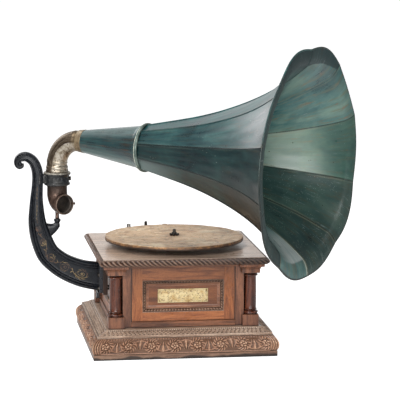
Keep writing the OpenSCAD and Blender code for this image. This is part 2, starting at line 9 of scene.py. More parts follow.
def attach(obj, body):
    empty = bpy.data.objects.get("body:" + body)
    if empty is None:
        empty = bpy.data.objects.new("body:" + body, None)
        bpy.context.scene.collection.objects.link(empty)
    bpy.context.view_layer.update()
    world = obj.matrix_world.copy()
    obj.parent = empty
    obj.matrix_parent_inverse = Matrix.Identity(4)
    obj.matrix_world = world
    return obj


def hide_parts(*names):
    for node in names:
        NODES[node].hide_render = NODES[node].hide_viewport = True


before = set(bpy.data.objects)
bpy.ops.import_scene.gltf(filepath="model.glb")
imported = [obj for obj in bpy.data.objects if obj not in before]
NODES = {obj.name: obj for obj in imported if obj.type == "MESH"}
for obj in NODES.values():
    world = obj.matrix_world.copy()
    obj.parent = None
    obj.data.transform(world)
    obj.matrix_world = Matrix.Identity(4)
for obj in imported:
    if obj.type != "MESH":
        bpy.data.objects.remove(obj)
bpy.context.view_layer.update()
rng = np.random.default_rng(11)

# ------------------------------------------------------------------ camera
AZ, EL, DIST = math.radians(-8.4), math.radians(8.84), 4.72413
BACK = Vector((math.sin(AZ) * math.cos(EL), -math.cos(AZ) * math.cos(EL), math.sin(EL)))
TARGET = Vector((0.05716, 0.0, 0.30213))
cam = bpy.data.objects.new("camera", bpy.data.cameras.new("camera"))
bpy.context.scene.collection.objects.link(cam)
right = Vector((math.cos(AZ), math.sin(AZ), 0))
up = BACK.cross(right)
roll = math.radians(0.31)
r2 = right * math.cos(roll) + up * math.sin(roll)
u2 = up * math.cos(roll) - right * math.sin(roll)
m = Matrix((r2, u2, BACK)).transposed().to_4x4()
m.translation = TARGET + BACK * DIST
cam.matrix_world = m
cam.data.sensor_width = 36
cam.data.lens = 2143.13 * 36 / 408
cam.data.clip_start, cam.data.clip_end = 0.05, 100
bpy.context.scene.camera = cam


# ------------------------------------------------------------------ material kit
class Mat:
    """One procedural material. Positions are the object's own coordinates, in metres."""

    def __init__(self, name, **sockets):
        self.m = bpy.data.materials.new(name)
        self.m.use_nodes = True
        self.t = self.m.node_tree
        self.t.nodes.clear()
        self.out = self.t.nodes.new("ShaderNodeOutputMaterial")
        self.b = self.t.nodes.new("ShaderNodeBsdfPrincipled")
        self.t.links.new(self.b.outputs[0], self.out.inputs[0])
        self.P = self.t.nodes.new("ShaderNodeTexCoord").outputs["Object"]
        for k, v in sockets.items():
            self.set(k.replace("_", " "), v)

    def put(self, socket, v):
        if isinstance(v, bpy.types.NodeSocket):
            self.t.links.new(v, socket)
        else:
            socket.default_value = v

    def set(self, name, v):
        s = self.b.inputs[name]
        if not isinstance(v, bpy.types.NodeSocket) and s.type == "RGBA" and len(v) == 3:
            v = (*v, 1)
        self.put(s, v)

    def f(self, op, a, b=0.0, c=0.0, clamp=False):
        n = self.t.nodes.new("ShaderNodeMath")
        n.operation, n.use_clamp = op, clamp
        for s, v in zip(n.inputs, (a, b, c)):
            self.put(s, v)
        return n.outputs[0]

    def add(self, a, b): return self.f("ADD", a, b)
    def sub(self, a, b): return self.f("SUBTRACT", a, b)
    def mul(self, a, b, clamp=False): return self.f("MULTIPLY", a, b, clamp=clamp)

    def v(self, op, a, b=(0, 0, 0), scale=None):
        n = self.t.nodes.new("ShaderNodeVectorMath")
        n.operation = op
        self.put(n.inputs[0], a)
        self.put(n.inputs[1], b)
        if scale is not None:
            self.put(n.inputs["Scale"], scale)
        return n.outputs["Value"] if op in ("LENGTH", "DOT_PRODUCT", "DISTANCE") else n.outputs[0]

    def xyz(self, v=None):
        n = self.t.nodes.new("ShaderNodeSeparateXYZ")
        self.put(n.inputs[0], self.P if v is None else v)
        return n.outputs

    def vec(self, x, y, z):
        n = self.t.nodes.new("ShaderNodeCombineXYZ")
        for s, q in zip(n.inputs, (x, y, z)):
            self.put(s, q)
        return n.outputs[0]

    def noise(self, scale, detail=3.0, rough=0.55, vec=None, warp=0.0):
        n = self.t.nodes.new("ShaderNodeTexNoise")
        n.noise_dimensions = "3D"
        self.put(n.inputs["Vector"], self.P if vec is None else vec)
        n.inputs["Scale"].default_value = scale
        n.inputs["Detail"].default_value = detail
        n.inputs["Roughness"].default_value = rough
        n.inputs["Distortion"].default_value = warp
        return n.outputs["Fac"]

    def vor(self, scale, vec=None, feature="F1", rand=1.0, out="Distance"):
        n = self.t.nodes.new("ShaderNodeTexVoronoi")
        n.feature = feature
        self.put(n.inputs["Vector"], self.P if vec is None else vec)
        n.inputs["Scale"].default_value = scale
        n.inputs["Randomness"].default_value = rand
        return n.outputs[out]

    def ramp(self, fac, stops, interp="LINEAR"):
        n = self.t.nodes.new("ShaderNodeValToRGB")
        n.color_ramp.interpolation = interp
        self.put(n.inputs[0], fac)
        e = n.color_ramp.elements
        while len(e) > 1:
            e.remove(e[-1])
        for i, (p, c) in enumerate(stops):
            q = e[0] if i == 0 else e.new(p)
            q.position = p
            q.color = (c, c, c, 1) if isinstance(c, (int, float)) else (*c, 1)
        return n.outputs[0]

    def step(self, fac, a, b):
        """0 below a, 1 above b, smooth between."""
        n = self.t.nodes.new("ShaderNodeMapRange")
        n.interpolation_type = "SMOOTHSTEP"
        self.put(n.inputs["Value"], fac)
        n.inputs["From Min"].default_value, n.inputs["From Max"].default_value = a, b
        return n.outputs[0]

    def range(self, fac, a, b, c, d):
        n = self.t.nodes.new("ShaderNodeMapRange")
        self.put(n.inputs["Value"], fac)
        for k, q in zip(("From Min", "From Max", "To Min", "To Max"), (a, b, c, d)):
            n.inputs[k].default_value = q
        return n.outputs[0]

    def mix(self, fac, a, b, blend="MIX"):
        n = self.t.nodes.new("ShaderNodeMix")
        n.data_type, n.blend_type = "RGBA", blend
        self.put(n.inputs[0], fac)
        for s, q in ((n.inputs[6], a), (n.inputs[7], b)):
            if not isinstance(q, bpy.types.NodeSocket):
                q = (q, q, q, 1) if isinstance(q, (int, float)) else (*q, 1)
            self.put(s, q)
        return n.outputs[2]

    def fmix(self, fac, a, b):
        n = self.t.nodes.new("ShaderNodeMix")
        n.data_type = "FLOAT"
        self.put(n.inputs[0], fac)
        self.put(n.inputs[2], a)
        self.put(n.inputs[3], b)
        return n.outputs[0]

    def bump(self, height, strength=0.5, dist=0.001, normal=None):
        n = self.t.nodes.new("ShaderNodeBump")
        n.inputs["Strength"].default_value = strength
        n.inputs["Distance"].default_value = dist
        self.put(n.inputs["Height"], height)
        if normal is not None:
            self.put(n.inputs["Normal"], normal)
        self.b_normal = n.outputs[0]
        self.put(self.b.inputs["Normal"], n.outputs[0])
        return n.outputs[0]

    def edge(self, radius=0.0015):
        """1 on convex and concave edges, 0 on flat ground."""
        n = self.t.nodes.new("ShaderNodeBevel")
        n.samples = 4
        n.inputs["Radius"].default_value = radius
        g = self.t.nodes.new("ShaderNodeNewGeometry")
        d = self.v("DOT_PRODUCT", n.outputs[0], g.outputs["Normal"])
        return self.f("SUBTRACT", 1.0, d, clamp=True)

    def attr(self, name):
        n = self.t.nodes.new("ShaderNodeAttribute")
        n.attribute_name = name
        return n.outputs["Fac"]

    def ao(self, dist=0.006, samples=8):
        n = self.t.nodes.new("ShaderNodeAmbientOcclusion")
        n.samples = samples
        n.inputs["Distance"].default_value = dist
        return n.outputs["AO"]

    def case_coords(self):
        """(distance along a case side, height, distance out of it, is it a left or right side)."""
        x, y, z = self.xyz()
        side = self.f("GREATER_THAN", self.f("ABSOLUTE", x), self.f("ABSOLUTE", y))
        return self.fmix(side, x, y), z, self.fmix(side, y, x), side


def srgb(r, g, b):
    return tuple(((c / 255 + 0.055) / 1.055) ** 2.4 if c > 10.3 else c / 255 / 12.92 for c in (r, g, b))


def wood(name, light, mid, dark, grain="h", rough=0.42, coat=0.35, coat_rough=0.22, wear=0.5, crevice_dirt_and_shade=0.8,
         dust=(150, 132, 118), figure=1.0, seed=0.0, relief=0.35, ao_dist=0.006, wear_radius=0.0012,
         carve=None, spec=0.35, contrast=1.0, painted_light_z=None, painted_light_x=None, joint=None):
    m = Mat(name)
    m.b.inputs["Specular IOR Level"].default_value = spec
    x, y, z = m.xyz()
    along, h, outw, side = m.case_coords()
    if grain == "h":
        u, v, w = along, h, outw
    elif grain == "v":
        u, v, w = h, along, outw
    elif grain == "x":
        u, v, w = x, y, z
    else:  # a frame: stiles upright, rails level
        st = m.f("GREATER_THAN", m.f("ABSOLUTE", along), 0.0885)
        u, v, w = m.fmix(st, along, h), m.fmix(st, h, along), m.add(outw, m.mul(st, 0.37))
    w = m.add(w, m.add(m.mul(side, 0.61), seed))
    g = m.vec(m.mul(u, 1.0), m.mul(v, 9.0), m.mul(w, 9.0))
    bands = m.noise(11, 5, 0.62, g, 0.9)
    bands = m.add(0.5, m.mul(m.sub(bands, 0.5), contrast))
    fine = m.noise(1, 3, 0.6, m.vec(m.mul(u, 60), m.mul(v, 900), m.mul(w, 900)))
    pores = m.noise(1, 2, 0.7, m.vec(m.mul(u, 170), m.mul(v, 2300), m.mul(w, 2300)))
    broad = m.noise(14, 3, 0.6, m.vec(u, v, w))
    col = m.ramp(bands, [(0.28, dark), (0.45, mid), (0.58, light), (0.72, mid)])
    col = m.mix(m.mul(m.step(fine, 0.5, 0.72), 0.5 * figure), col, dark)
    col = m.mix(m.mul(m.step(pores, 0.56, 0.66), 0.6), col, tuple(c * 0.35 for c in dark))
    col = m.mix(m.mul(m.step(broad, 0.5, 0.72), 0.45), col, tuple(c * 0.55 for c in mid))
    rays = m.noise(1, 2, 0.5, m.vec(m.mul(u, 420), m.mul(v, 90), m.mul(w, 420)), 0.4)
    col = m.mix(m.mul(m.step(rays, 0.64, 0.7), 0.25), col, light)
    # darker in recesses and between parts, from ambient occlusion: painted shade, with dirt packed there
    ao = m.ao(ao_dist)
    col = m.mix(m.mul(m.f("SUBTRACT", 1.0, m.step(ao, 0.35, 0.95)), crevice_dirt_and_shade), col, tuple(c * 0.16 for c in dark))
    edge = m.edge(wear_radius)
    rub = m.noise(160, 3, 0.7)
    worn = m.mul(m.mul(m.step(edge, 0.04, 0.2), m.step(rub, 0.38, 0.6)), m.step(ao, 0.55, 0.9))
    col = m.mix(m.mul(worn, wear), col, srgb(*dust))
    if carve:  # (height in mm of the ground, of the tops, colour of the tops, how strong): the ground is darkened as painted shade, the tops lightened as rubbed wear with a painted highlight
        g0, g1, tops, amount = carve
        h = m.attr("carve")
        rough_h = m.add(h, m.mul(m.sub(m.noise(300, 3, 0.6), 0.5), (g1 - g0) * 0.7))
        # painted shade in the carving's hollows
        col = m.mix(m.mul(m.f("SUBTRACT", 1.0, m.step(rough_h, g0, g0 + (g1 - g0) * 0.55)), 0.72), col, tuple(c * 0.4 for c in dark))
        # tops lightened: rubbed wear with a painted highlight
        col = m.mix(m.mul(m.step(rough_h, g0 + (g1 - g0) * 0.62, g1), amount), col, srgb(*tops))
    if joint:  # dirt packed into the joint beside it
        jn = m.step(m.add(m.f("ABSOLUTE", along), m.mul(m.sub(fine, 0.5), 0.0012)), joint - 0.0036, joint - 0.0010)
        col = m.mix(m.mul(jn, 0.92), col, tuple(c * 0.2 for c in dark))
    # painted light and shade by height and across the width, with an uneven edge: shadow under the rope and rails, a
    # contact shadow at the foot, shade at the cap's left end and along the rope's right, a painted reflection lighter
    # on the left of the deck
    for coord, tone in ((z, painted_light_z), (x, painted_light_x)):
        if tone:
            k = m.range(m.add(coord, m.mul(m.sub(broad, 0.5), 0.02)), *tone)
            col = m.v("MULTIPLY", col, m.vec(k, k, k))
    m.set("Base Color", col)
    r = m.add(m.range(broad, 0.3, 0.7, rough - 0.08, rough + 0.1), m.mul(worn, 0.15))
    m.set("Roughness", m.add(r, m.mul(m.step(pores, 0.56, 0.66), 0.15)))
    m.set("Coat Weight", m.mul(m.range(rub, 0.3, 0.7, coat, coat * 0.5), m.step(ao, 0.3, 0.8)))
    m.b.inputs["Coat Roughness"].default_value = coat_rough
    height = m.add(m.mul(pores, -0.6), m.add(m.mul(fine, 0.35), m.mul(m.noise(420, 2, 0.5), 0.35)))
    m.bump(height, relief, 0.0006)
    return m.m


def metal(name, base, tint, rough=0.3, metallic=1.0, spots=0.4, spot=(60, 45, 35), scale=90, coat=0.0, brush=None, relief=0.15, crevice_dirt_and_shade=0.6, edge_col=None):
    m = Mat(name)
    big = m.noise(scale * 0.35, 4, 0.6, warp=0.4)
    small = m.noise(scale * 3.2, 4, 0.65)
    col = m.mix(m.step(big, 0.35, 0.68), srgb(*base), srgb(*tint))
    sp = m.step(m.add(m.mul(big, 0.5), m.mul(small, 0.6)), 0.56, 0.7)
    col = m.mix(m.mul(sp, spots), col, srgb(*spot))
    # darker in hollows and between parts, from ambient occlusion: painted shade, with dirt
    ao = m.ao(0.004)
    dirt = m.f("SUBTRACT", 1.0, m.step(ao, 0.3, 0.9))
    col = m.mix(m.mul(dirt, crevice_dirt_and_shade), col, tuple(c * 0.25 for c in srgb(*spot)))
    if edge_col:
        col = m.mix(m.mul(m.step(m.edge(0.0008), 0.04, 0.2), 0.7), col, srgb(*edge_col))
    m.set("Base Color", col)
    m.b.inputs["Metallic"].default_value = metallic
    m.set("Roughness", m.add(m.range(small, 0.3, 0.7, rough - 0.07, rough + 0.12), m.mul(sp, 0.2)))
    if coat:
        m.b.inputs["Coat Weight"].default_value = coat
        m.b.inputs["Coat Roughness"].default_value = 0.2
    if brush:
        x, y, z = m.xyz()
        s = {"x": (40, 2600, 2600), "y": (2600, 40, 2600), "z": (2600, 2600, 40)}[brush]
        lines = m.noise(1, 2, 0.5, m.vec(m.mul(x, s[0]), m.mul(y, s[1]), m.mul(z, s[2])))
        h = m.add(m.mul(small, 0.5), m.mul(lines, 0.5))
    else:
        h = m.add(m.mul(small, 0.7), m.mul(big, 0.5))
    m.bump(h, relief, 0.0006)
    return m.m


# ------------------------------------------------------------------ mesh kit
def add_mesh(name, verts_mm, faces, mats, body, smooth=35.0, matrix=None, slots=None, replaces=(), weld=0.0, height=None):
    me = bpy.data.meshes.new(name)
    me.from_pydata((np.asarray(verts_mm, float) / 1000).tolist(), [], [tuple(int(i) for i in f) for f in faces])
    me.validate()
    if slots is not None:
        me.polygons.foreach_set("material_index", np.asarray(slots, dtype=np.int32)[:len(me.polygons)])
    bm = bmesh.new()
    bm.from_mesh(me)
    if weld:
        bmesh.ops.remove_doubles(bm, verts=bm.verts, dist=weld / 1000)
        bmesh.ops.dissolve_degenerate(bm, dist=weld / 4000, edges=bm.edges)
    bmesh.ops.recalc_face_normals(bm, faces=bm.faces)
    bm.to_mesh(me)
    bm.free()
    me.polygons.foreach_set("use_smooth", [True] * len(me.polygons))
    me.set_sharp_from_angle(angle=math.radians(smooth))
    if height is not None:  # how far the carving stands out at each vertex
        me.attributes.new("carve", "FLOAT", "POINT").data.foreach_set("value", np.asarray(height, np.float32).ravel())
    for mt in (mats if isinstance(mats, (list, tuple)) else [mats]):
        me.materials.append(mt)
    ob = bpy.data.objects.new(name, me)
    bpy.context.scene.collection.objects.link(ob)
    if matrix is not None:
        ob.matrix_world = matrix
    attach(ob, body)
    if replaces:
        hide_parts(*replaces)
    return ob


def grid(nu, nv, cu=False, cv=False, off=0):
    f = []
    for i in range(nu if cu else nu - 1):
        i2 = (i + 1) % nu
        for j in range(nv if cv else nv - 1):
            j2 = (j + 1) % nv
            f.append((off + i * nv + j, off + i2 * nv + j, off + i2 * nv + j2, off + i * nv + j2))
    return f


def lathe(profile, n=96, x=0.0, y=0.0, closed=False):
    """profile of (r, z) turned about the vertical through x, y. Points with r = 0 make a pole."""
    p = np.asarray(profile, float)
    a = np.linspace(0, 2 * np.pi, n, endpoint=False)
    v = np.stack([x + p[None, :, 0] * np.cos(a)[:, None], y + p[None, :, 0] * np.sin(a)[:, None],
                  np.broadcast_to(p[None, :, 1], (n, len(p)))], -1).reshape(-1, 3)
    return v, grid(n, len(p), True, closed)


def join_parts(parts):
    vs, fs, off = [], [], 0
    for v, f in parts:
        v = np.asarray(v, float).reshape(-1, 3)
        vs.append(v)
        fs += [tuple(i + off for i in q) for q in f]
        off += len(v)
    return np.concatenate(vs), fs


def rotz(v, deg):
    a = math.radians(deg)
    c, s = math.cos(a), math.sin(a)
    v = np.asarray(v, float)
    return np.stack([v[..., 0] * c - v[..., 1] * s, v[..., 0] * s + v[..., 1] * c, v[..., 2]], -1)


def resample(pts, n=None, step=None):
    p = np.asarray(pts, float)
    seg = np.linalg.norm(np.diff(p[:, :2], axis=0), axis=1)
    s = np.concatenate([[0], np.cumsum(seg)])
    n = n or max(2, int(round(s[-1] / step)) + 1)
    t = np.linspace(0, s[-1], n)
    return np.stack([np.interp(t, s, p[:, k]) for k in range(p.shape[1])], -1), t


def smooth_curve(pts, per=8):
    p = [np.asarray(q, float) for q in pts]
    out = []
    for i in range(len(p) - 1):
        a, b, c, d = p[max(i - 1, 0)], p[i], p[i + 1], p[min(i + 2, len(p) - 1)]
        for k in range(per):
            t = k / per
            out.append(0.5 * (2 * b + (c - a) * t + (2 * a - 5 * b + 4 * c - d) * t * t + (3 * b - a - 3 * c + d) * t ** 3))
    out.append(p[-1])
    return np.array(out)


def normals2(p):
    t = np.gradient(p, axis=0)
    t /= np.linalg.norm(t, axis=1)[:, None] + 1e-12
    return np.stack([t[:, 1], -t[:, 0]], -1)


def ss(x, a, b):
    t = np.clip((x - a) / (b - a), 0, 1)
    return t * t * (3 - 2 * t)


def sweep(centre, side, up_, ring2d, closed_ring=True, cap=True):
    """centre (n,3), side and up_ unit vectors (n,3), ring2d (n,m,2): a solid bar with flat ends."""
    c, s, u_, r = (np.asarray(q, float) for q in (centre, side, up_, ring2d))
    v = c[:, None] + s[:, None] * r[..., :1] + u_[:, None] * r[..., 1:]
    n, k = r.shape[:2]
    f = grid(n, k, False, closed_ring)
    v = v.reshape(-1, 3)
    if cap:
        v = np.concatenate([v, v[:k].mean(0)[None], v[-k:].mean(0)[None]])
        a, b = n * k, n * k + 1
        f += [(a, (j + 1) % k, j) for j in range(k)] + [(b, (n - 1) * k + j, (n - 1) * k + (j + 1) % k) for j in range(k)]
    return v, f


def ringwalk(outer, back, relief, nu, half_fn=None):
    """A moulding run round the four sides of the case with mitred corners.
    outer: dense (d, z) profile that carries the relief; back: the few (d, z) points that close it."""
    p = np.concatenate([outer, back])
    nrm = normals2(np.asarray(outer, float))
    b = np.concatenate([[0], np.cumsum(np.linalg.norm(np.diff(outer, axis=0), axis=1))])
    vs, hs = [], []
    for i in range(4):
        q = -1 + 2 * np.arange(nu) / nu
        L = np.max(outer[:, 0])
        A, Bm = np.meshgrid(q * L, b, indexing="ij")
        h = relief(A, Bm, i)
        d = np.broadcast_to(p[None, :, 0], (nu, len(p))).copy()
        z = np.broadcast_to(p[None, :, 1], (nu, len(p))).copy()
        d[:, :len(outer)] += nrm[None, :, 0] * h
        z[:, :len(outer)] += nrm[None, :, 1] * h
        v = np.stack([q[:, None] * d, -d, z], -1)
        vs.append(rotz(v, 90 * i))
        hs.append(np.concatenate([h, np.zeros((nu, len(p) - len(outer)))], 1))
    v = np.concatenate(vs).reshape(-1, 3)
    return v, grid(4 * nu, len(p), True, True), np.concatenate(hs).ravel()

# ------------------------------------------------------------------ materials
OAK_L, OAK_M, OAK_D = srgb(178, 108, 60), srgb(142, 80, 42), srgb(88, 46, 25)
# the height and width ramps below are painted light and shade: shadow under the rope on the frame, egg-and-dart and
# cove, a contact shadow at the skirt's foot, shade at the cap's left end and the rope's right, a reflection lighter on
# the left of the deck
mat_frame = wood("oak_frame", OAK_L, OAK_M, OAK_D, "frame", rough=0.34, coat=0.35, wear=0.35, seed=0.1, contrast=0.85, painted_light_z=(0.088, 0.170, 1.02, 0.62), joint=0.113)
mat_rail = wood("oak_rail", srgb(144, 92, 62), srgb(110, 67, 43), srgb(66, 38, 25), "h", rough=0.4, coat=0.3, wear=0.5, seed=0.9)
mat_post = wood("oak_post", srgb(140, 90, 62), srgb(108, 66, 45), srgb(66, 38, 26), "v", rough=0.38, coat=0.35, wear=0.45, seed=1.7)
mat_field = wood("oak_field", srgb(130, 76, 42), srgb(103, 57, 31), srgb(62, 33, 18), "h", rough=0.4, coat=0.3, wear=0.3, seed=2.3, contrast=0.9)
mat_cove = wood("oak_cove", srgb(156, 108, 80), srgb(128, 84, 62), srgb(84, 52, 38), "h", rough=0.36, coat=0.35, wear=0.5, seed=2.9, painted_light_z=(0.100, 0.150, 1.1, 0.85))
mat_column = wood("oak_column", srgb(104, 52, 30), srgb(70, 32, 18), srgb(34, 14, 9), "v", rough=0.24, coat=0.45, coat_rough=0.12, wear=0.35, crevice_dirt_and_shade=0.9, seed=3.1, spec=0.4)
mat_carved = wood("oak_carved", srgb(186, 142, 114), srgb(156, 112, 86), srgb(104, 70, 50), "h", rough=0.42, coat=0.3, wear=0.5, crevice_dirt_and_shade=0.95, dust=(214, 184, 156), seed=4.2, ao_dist=0.005, wear_radius=0.001,
                  carve=(-1.0, 1.9, (226, 192, 162), 0.5))
mat_skirt = wood("oak_skirt", srgb(146, 114, 92), srgb(120, 88, 70), srgb(76, 53, 41), "h", rough=0.45, coat=0.25, wear=0.5, crevice_dirt_and_shade=0.9, dust=(190, 164, 140), seed=4.9, painted_light_z=(0.0034, 0.0066, 0.14, 1.0))
mat_pad = wood("oak_pad", srgb(66, 46, 36), srgb(46, 32, 26), srgb(26, 18, 15), "v", rough=0.4, coat=0.3, wear=0.4, seed=1.9)
mat_cap = wood("oak_cap", srgb(204, 176, 154), srgb(180, 150, 128), srgb(118, 92, 74), "h", rough=0.42, coat=0.3, wear=0.6, crevice_dirt_and_shade=0.9, dust=(220, 204, 184), seed=5.4, ao_dist=0.004,
               carve=(-0.6, 1.2, (236, 220, 202), 0.7), painted_light_x=(-0.19, -0.15, 0.72, 1.0))
mat_egg = wood("oak_egg", srgb(150, 110, 84), srgb(116, 80, 60), srgb(70, 44, 32), "h", rough=0.4, coat=0.35, wear=0.5, crevice_dirt_and_shade=0.9, dust=(184, 158, 136), seed=5.9, ao_dist=0.004,
               carve=(-0.35, 1.3, (186, 158, 138), 0.6), painted_light_z=(0.102, 0.150, 1.12, 0.66))
mat_rope = wood("oak_rope", srgb(124, 88, 70), srgb(92, 62, 47), srgb(46, 29, 22), "h", rough=0.38, coat=0.4, wear=0.8, crevice_dirt_and_shade=0.95, dust=(168, 146, 128), seed=6.6, ao_dist=0.006,
                carve=(0.36, 1.0, (184, 156, 134), 0.38), painted_light_x=(0.02, 0.12, 0.85, 0.34))
mat_deck = wood("oak_deck", srgb(200, 172, 150), srgb(174, 148, 128), srgb(122, 98, 82), "x", rough=0.34, coat=0.45, coat_rough=0.2, wear=0.5, crevice_dirt_and_shade=0.5, seed=7.9, ao_dist=0.012, spec=0.5, painted_light_x=(-0.15, 0.12, 1.25, 1.03))
mat_inner = wood("bare_wood", srgb(168, 136, 100), srgb(140, 108, 76), srgb(96, 70, 46), "x", rough=0.7, coat=0.0, wear=0.2, seed=8.8)
mat_grip = wood("grip_wood", srgb(96, 52, 30), srgb(70, 36, 20), srgb(34, 16, 10), "x", rough=0.25, coat=0.6, coat_rough=0.12, wear=0.3, seed=9.5)

mat_steel = metal("steel", (150, 148, 143), (112, 108, 102), 0.32, spots=0.3, brush="z")
mat_dark_steel = metal("dark_steel", (74, 70, 66), (44, 41, 38), 0.42, spots=0.5, spot=(58, 36, 24), edge_col=(138, 130, 120))
mat_blued = metal("spring_steel", (62, 68, 84), (42, 46, 58), 0.3, spots=0.3)
mat_brass = metal("brass", (176, 142, 84), (130, 100, 56), 0.34, spots=0.4, spot=(74, 54, 30), brush="x")
mat_pins = metal("pins", (190, 164, 116), (150, 122, 80), 0.4, spots=0.5)
mat_lead = metal("lead", (110, 110, 112), (84, 84, 88), 0.55, spots=0.3)
mat_star = metal("star_nut", (64, 62, 60), (34, 33, 33), 0.45, spots=0.6, spot=(66, 48, 36), edge_col=(120, 112, 102), relief=0.4)
mat_flange = metal("japan_flange", (30, 34, 42), (18, 20, 25), 0.3, metallic=0.0, spots=0.25, spot=(52, 40, 32), coat=0.6, edge_col=(92, 92, 94))


def make_japan(name="black_japan", wear=0.6, rub=(96, 98, 102), base=((8, 13, 20), (17, 22, 29))):
    m = Mat(name)
    big = m.noise(22, 4, 0.6, warp=0.3)
    fine = m.noise(700, 3, 0.6)
    med = m.noise(120, 4, 0.65)
    col = m.mix(m.step(big, 0.35, 0.65), srgb(*base[0]), srgb(*base[1]))
    col = m.mix(m.mul(m.step(med, 0.57, 0.68), 0.35), col, srgb(30, 31, 33))
    edge = m.edge(0.0016)
    worn = m.mul(m.step(edge, 0.03, 0.16), m.step(med, 0.42, 0.58))
    col = m.mix(m.mul(worn, wear), col, srgb(*rub))
    # darker in hollows and between parts, from ambient occlusion: painted shade, with dirt
    ao = m.ao(0.006)
    col = m.mix(m.mul(m.f("SUBTRACT", 1.0, m.step(ao, 0.35, 0.9)), 0.7), col, srgb(20, 16, 14))
    m.set("Base Color", col)
    m.set("Roughness", m.add(m.range(big, 0.3, 0.7, 0.2, 0.36), m.mul(worn, 0.2)))
    m.b.inputs["Specular IOR Level"].default_value = 0.26
    m.b.inputs["Coat Weight"].default_value = 0.16
    m.b.inputs["Coat Roughness"].default_value = 0.12
    m.bump(m.add(m.mul(fine, 0.3), m.mul(med, 1.0)), 0.35, 0.0008)
    return m.m


def make_gilt():
    m = Mat("worn_gilt")
    n = m.noise(260, 4, 0.7)
    n2 = m.noise(60, 2, 0.5)
    col = m.mix(m.step(n2, 0.4, 0.62), srgb(136, 116, 82), srgb(96, 70, 54))
    gone = m.mul(m.step(m.add(m.mul(n, 0.6), m.mul(n2, 0.4)), 0.5, 0.6), 0.8)
    col = m.mix(gone, col, srgb(34, 34, 36))
    m.set("Base Color", col)
    m.set("Metallic", m.range(gone, 0, 1, 0.5, 0.1))
    m.set("Roughness", m.range(n, 0.3, 0.7, 0.35, 0.55))
    m.bump(n, 0.2, 0.0004)
    return m.m


def make_nickel():
    """Nickel plate dulled to brown, with a painted reflection in bright patches on the inside of the bend, a painted
    dark reflection line along it, and pitting.
    """
    m = Mat("worn_nickel")
    x, y, z = m.xyz()
    big = m.noise(34, 4, 0.65, warp=0.8)
    med = m.noise(130, 5, 0.7, warp=0.4)
    fine = m.noise(900, 3, 0.6)
    # distance from the pipe's own middle line, positive towards the inside of the bend
    px = m.sub(m.mul(m.sub(x, -0.2580), 0.809), m.mul(y, 0.5878))
    ex, ez = m.f("MINIMUM", m.sub(px, 0.056), 0.0), m.f("MAXIMUM", m.sub(z, 0.394), 0.0)
    rr = m.f("SQRT", m.add(m.mul(ex, ex), m.mul(ez, ez)))
    q = m.add(m.sub(0.056, rr), m.mul(m.sub(big, 0.5), 0.006))
    run = m.f("ARCTAN2", ez, m.sub(0.0, ex))
    streak = m.noise(1, 5, 0.65, m.vec(m.mul(q, 420), m.mul(run, 2.2), m.mul(z, 9)), 0.4)
    # outside of the bend: dull brown streaks; inside: a painted reflection of the bright floor, in patches
    shell = m.ramp(streak, [(0.3, srgb(62, 52, 43)), (0.46, srgb(98, 84, 70)), (0.58, srgb(136, 121, 103)), (0.7, srgb(86, 70, 56))])
    bright = m.ramp(m.add(m.mul(big, 0.5), m.mul(med, 0.5)), [(0.36, srgb(84, 68, 52)), (0.45, srgb(164, 152, 134)), (0.54, srgb(206, 198, 184)), (0.64, srgb(132, 116, 96))])
    inner = m.step(q, 0.0000, 0.0016)
    col = m.mix(inner, shell, bright)
    pit = m.step(med, 0.57, 0.66)
    col = m.mix(m.mul(pit, m.range(inner, 0, 1, 0.35, 0.8)), col, srgb(92, 68, 46))
    # painted dark reflection line along the edge of the bright reflection, high on the bend
    dark_reflection_line = m.mul(m.step(q, -0.0022, -0.0008), m.f("SUBTRACT", 1.0, m.step(q, 0.0002, 0.0014)))
    col = m.mix(m.mul(m.mul(dark_reflection_line, m.step(z, 0.396, 0.404)), 0.6), col, srgb(58, 46, 36))
    tan = m.mul(m.step(px, 0.038, 0.060), m.f("SUBTRACT", 1.0, m.mul(inner, 0.6)))
    col = m.mix(m.mul(tan, 0.7), col, srgb(132, 114, 88))
    # darker in hollows, from ambient occlusion: painted shade, with dirt
    ao = m.ao(0.004)
    col = m.mix(m.mul(m.f("SUBTRACT", 1.0, m.step(ao, 0.4, 0.92)), 0.8), col, srgb(52, 40, 30))
    m.set("Base Color", col)
    m.set("Metallic", m.range(pit, 0, 1, 0.85, 0.4))
    m.set("Roughness", m.add(m.range(med, 0.35, 0.65, 0.32, 0.46), m.mul(pit, 0.15)))
    m.bump(m.add(m.mul(pit, -0.6), m.add(m.mul(fine, 0.1), m.mul(med, 0.4))), 0.22, 0.0007)
    return m.m


def make_copper():
    m = Mat("copper_brown")
    x, y, z = m.xyz()
    big = m.noise(45, 4, 0.65, warp=0.6)
    med = m.noise(170, 5, 0.7)
    col = m.ramp(big, [(0.3, srgb(54, 45, 40)), (0.48, srgb(98, 78, 68)), (0.6, srgb(130, 105, 93)), (0.74, srgb(76, 59, 51))])
    dark = m.step(m.add(z, m.mul(m.sub(big, 0.5), 0.05)), 0.322, 0.345)
    col = m.mix(m.mul(dark, 0.75), col, srgb(58, 52, 48))
    spot = m.step(med, 0.57, 0.67)
    col = m.mix(m.mul(spot, 0.6), col, srgb(66, 46, 36))
    # darker in hollows, from ambient occlusion: painted shade, with dirt
    ao = m.ao(0.006)
    col = m.mix(m.mul(m.f("SUBTRACT", 1.0, m.step(ao, 0.25, 0.85)), 0.75), col, srgb(34, 26, 20))
    m.set("Base Color", col)
    m.set("Metallic", m.range(spot, 0, 1, 0.8, 0.3))
    m.set("Roughness", m.add(m.range(med, 0.35, 0.65, 0.28, 0.5), m.mul(dark, 0.1)))
    m.bump(m.add(m.mul(spot, -0.6), m.mul(med, 0.6)), 0.35, 0.0008)
    return m.m


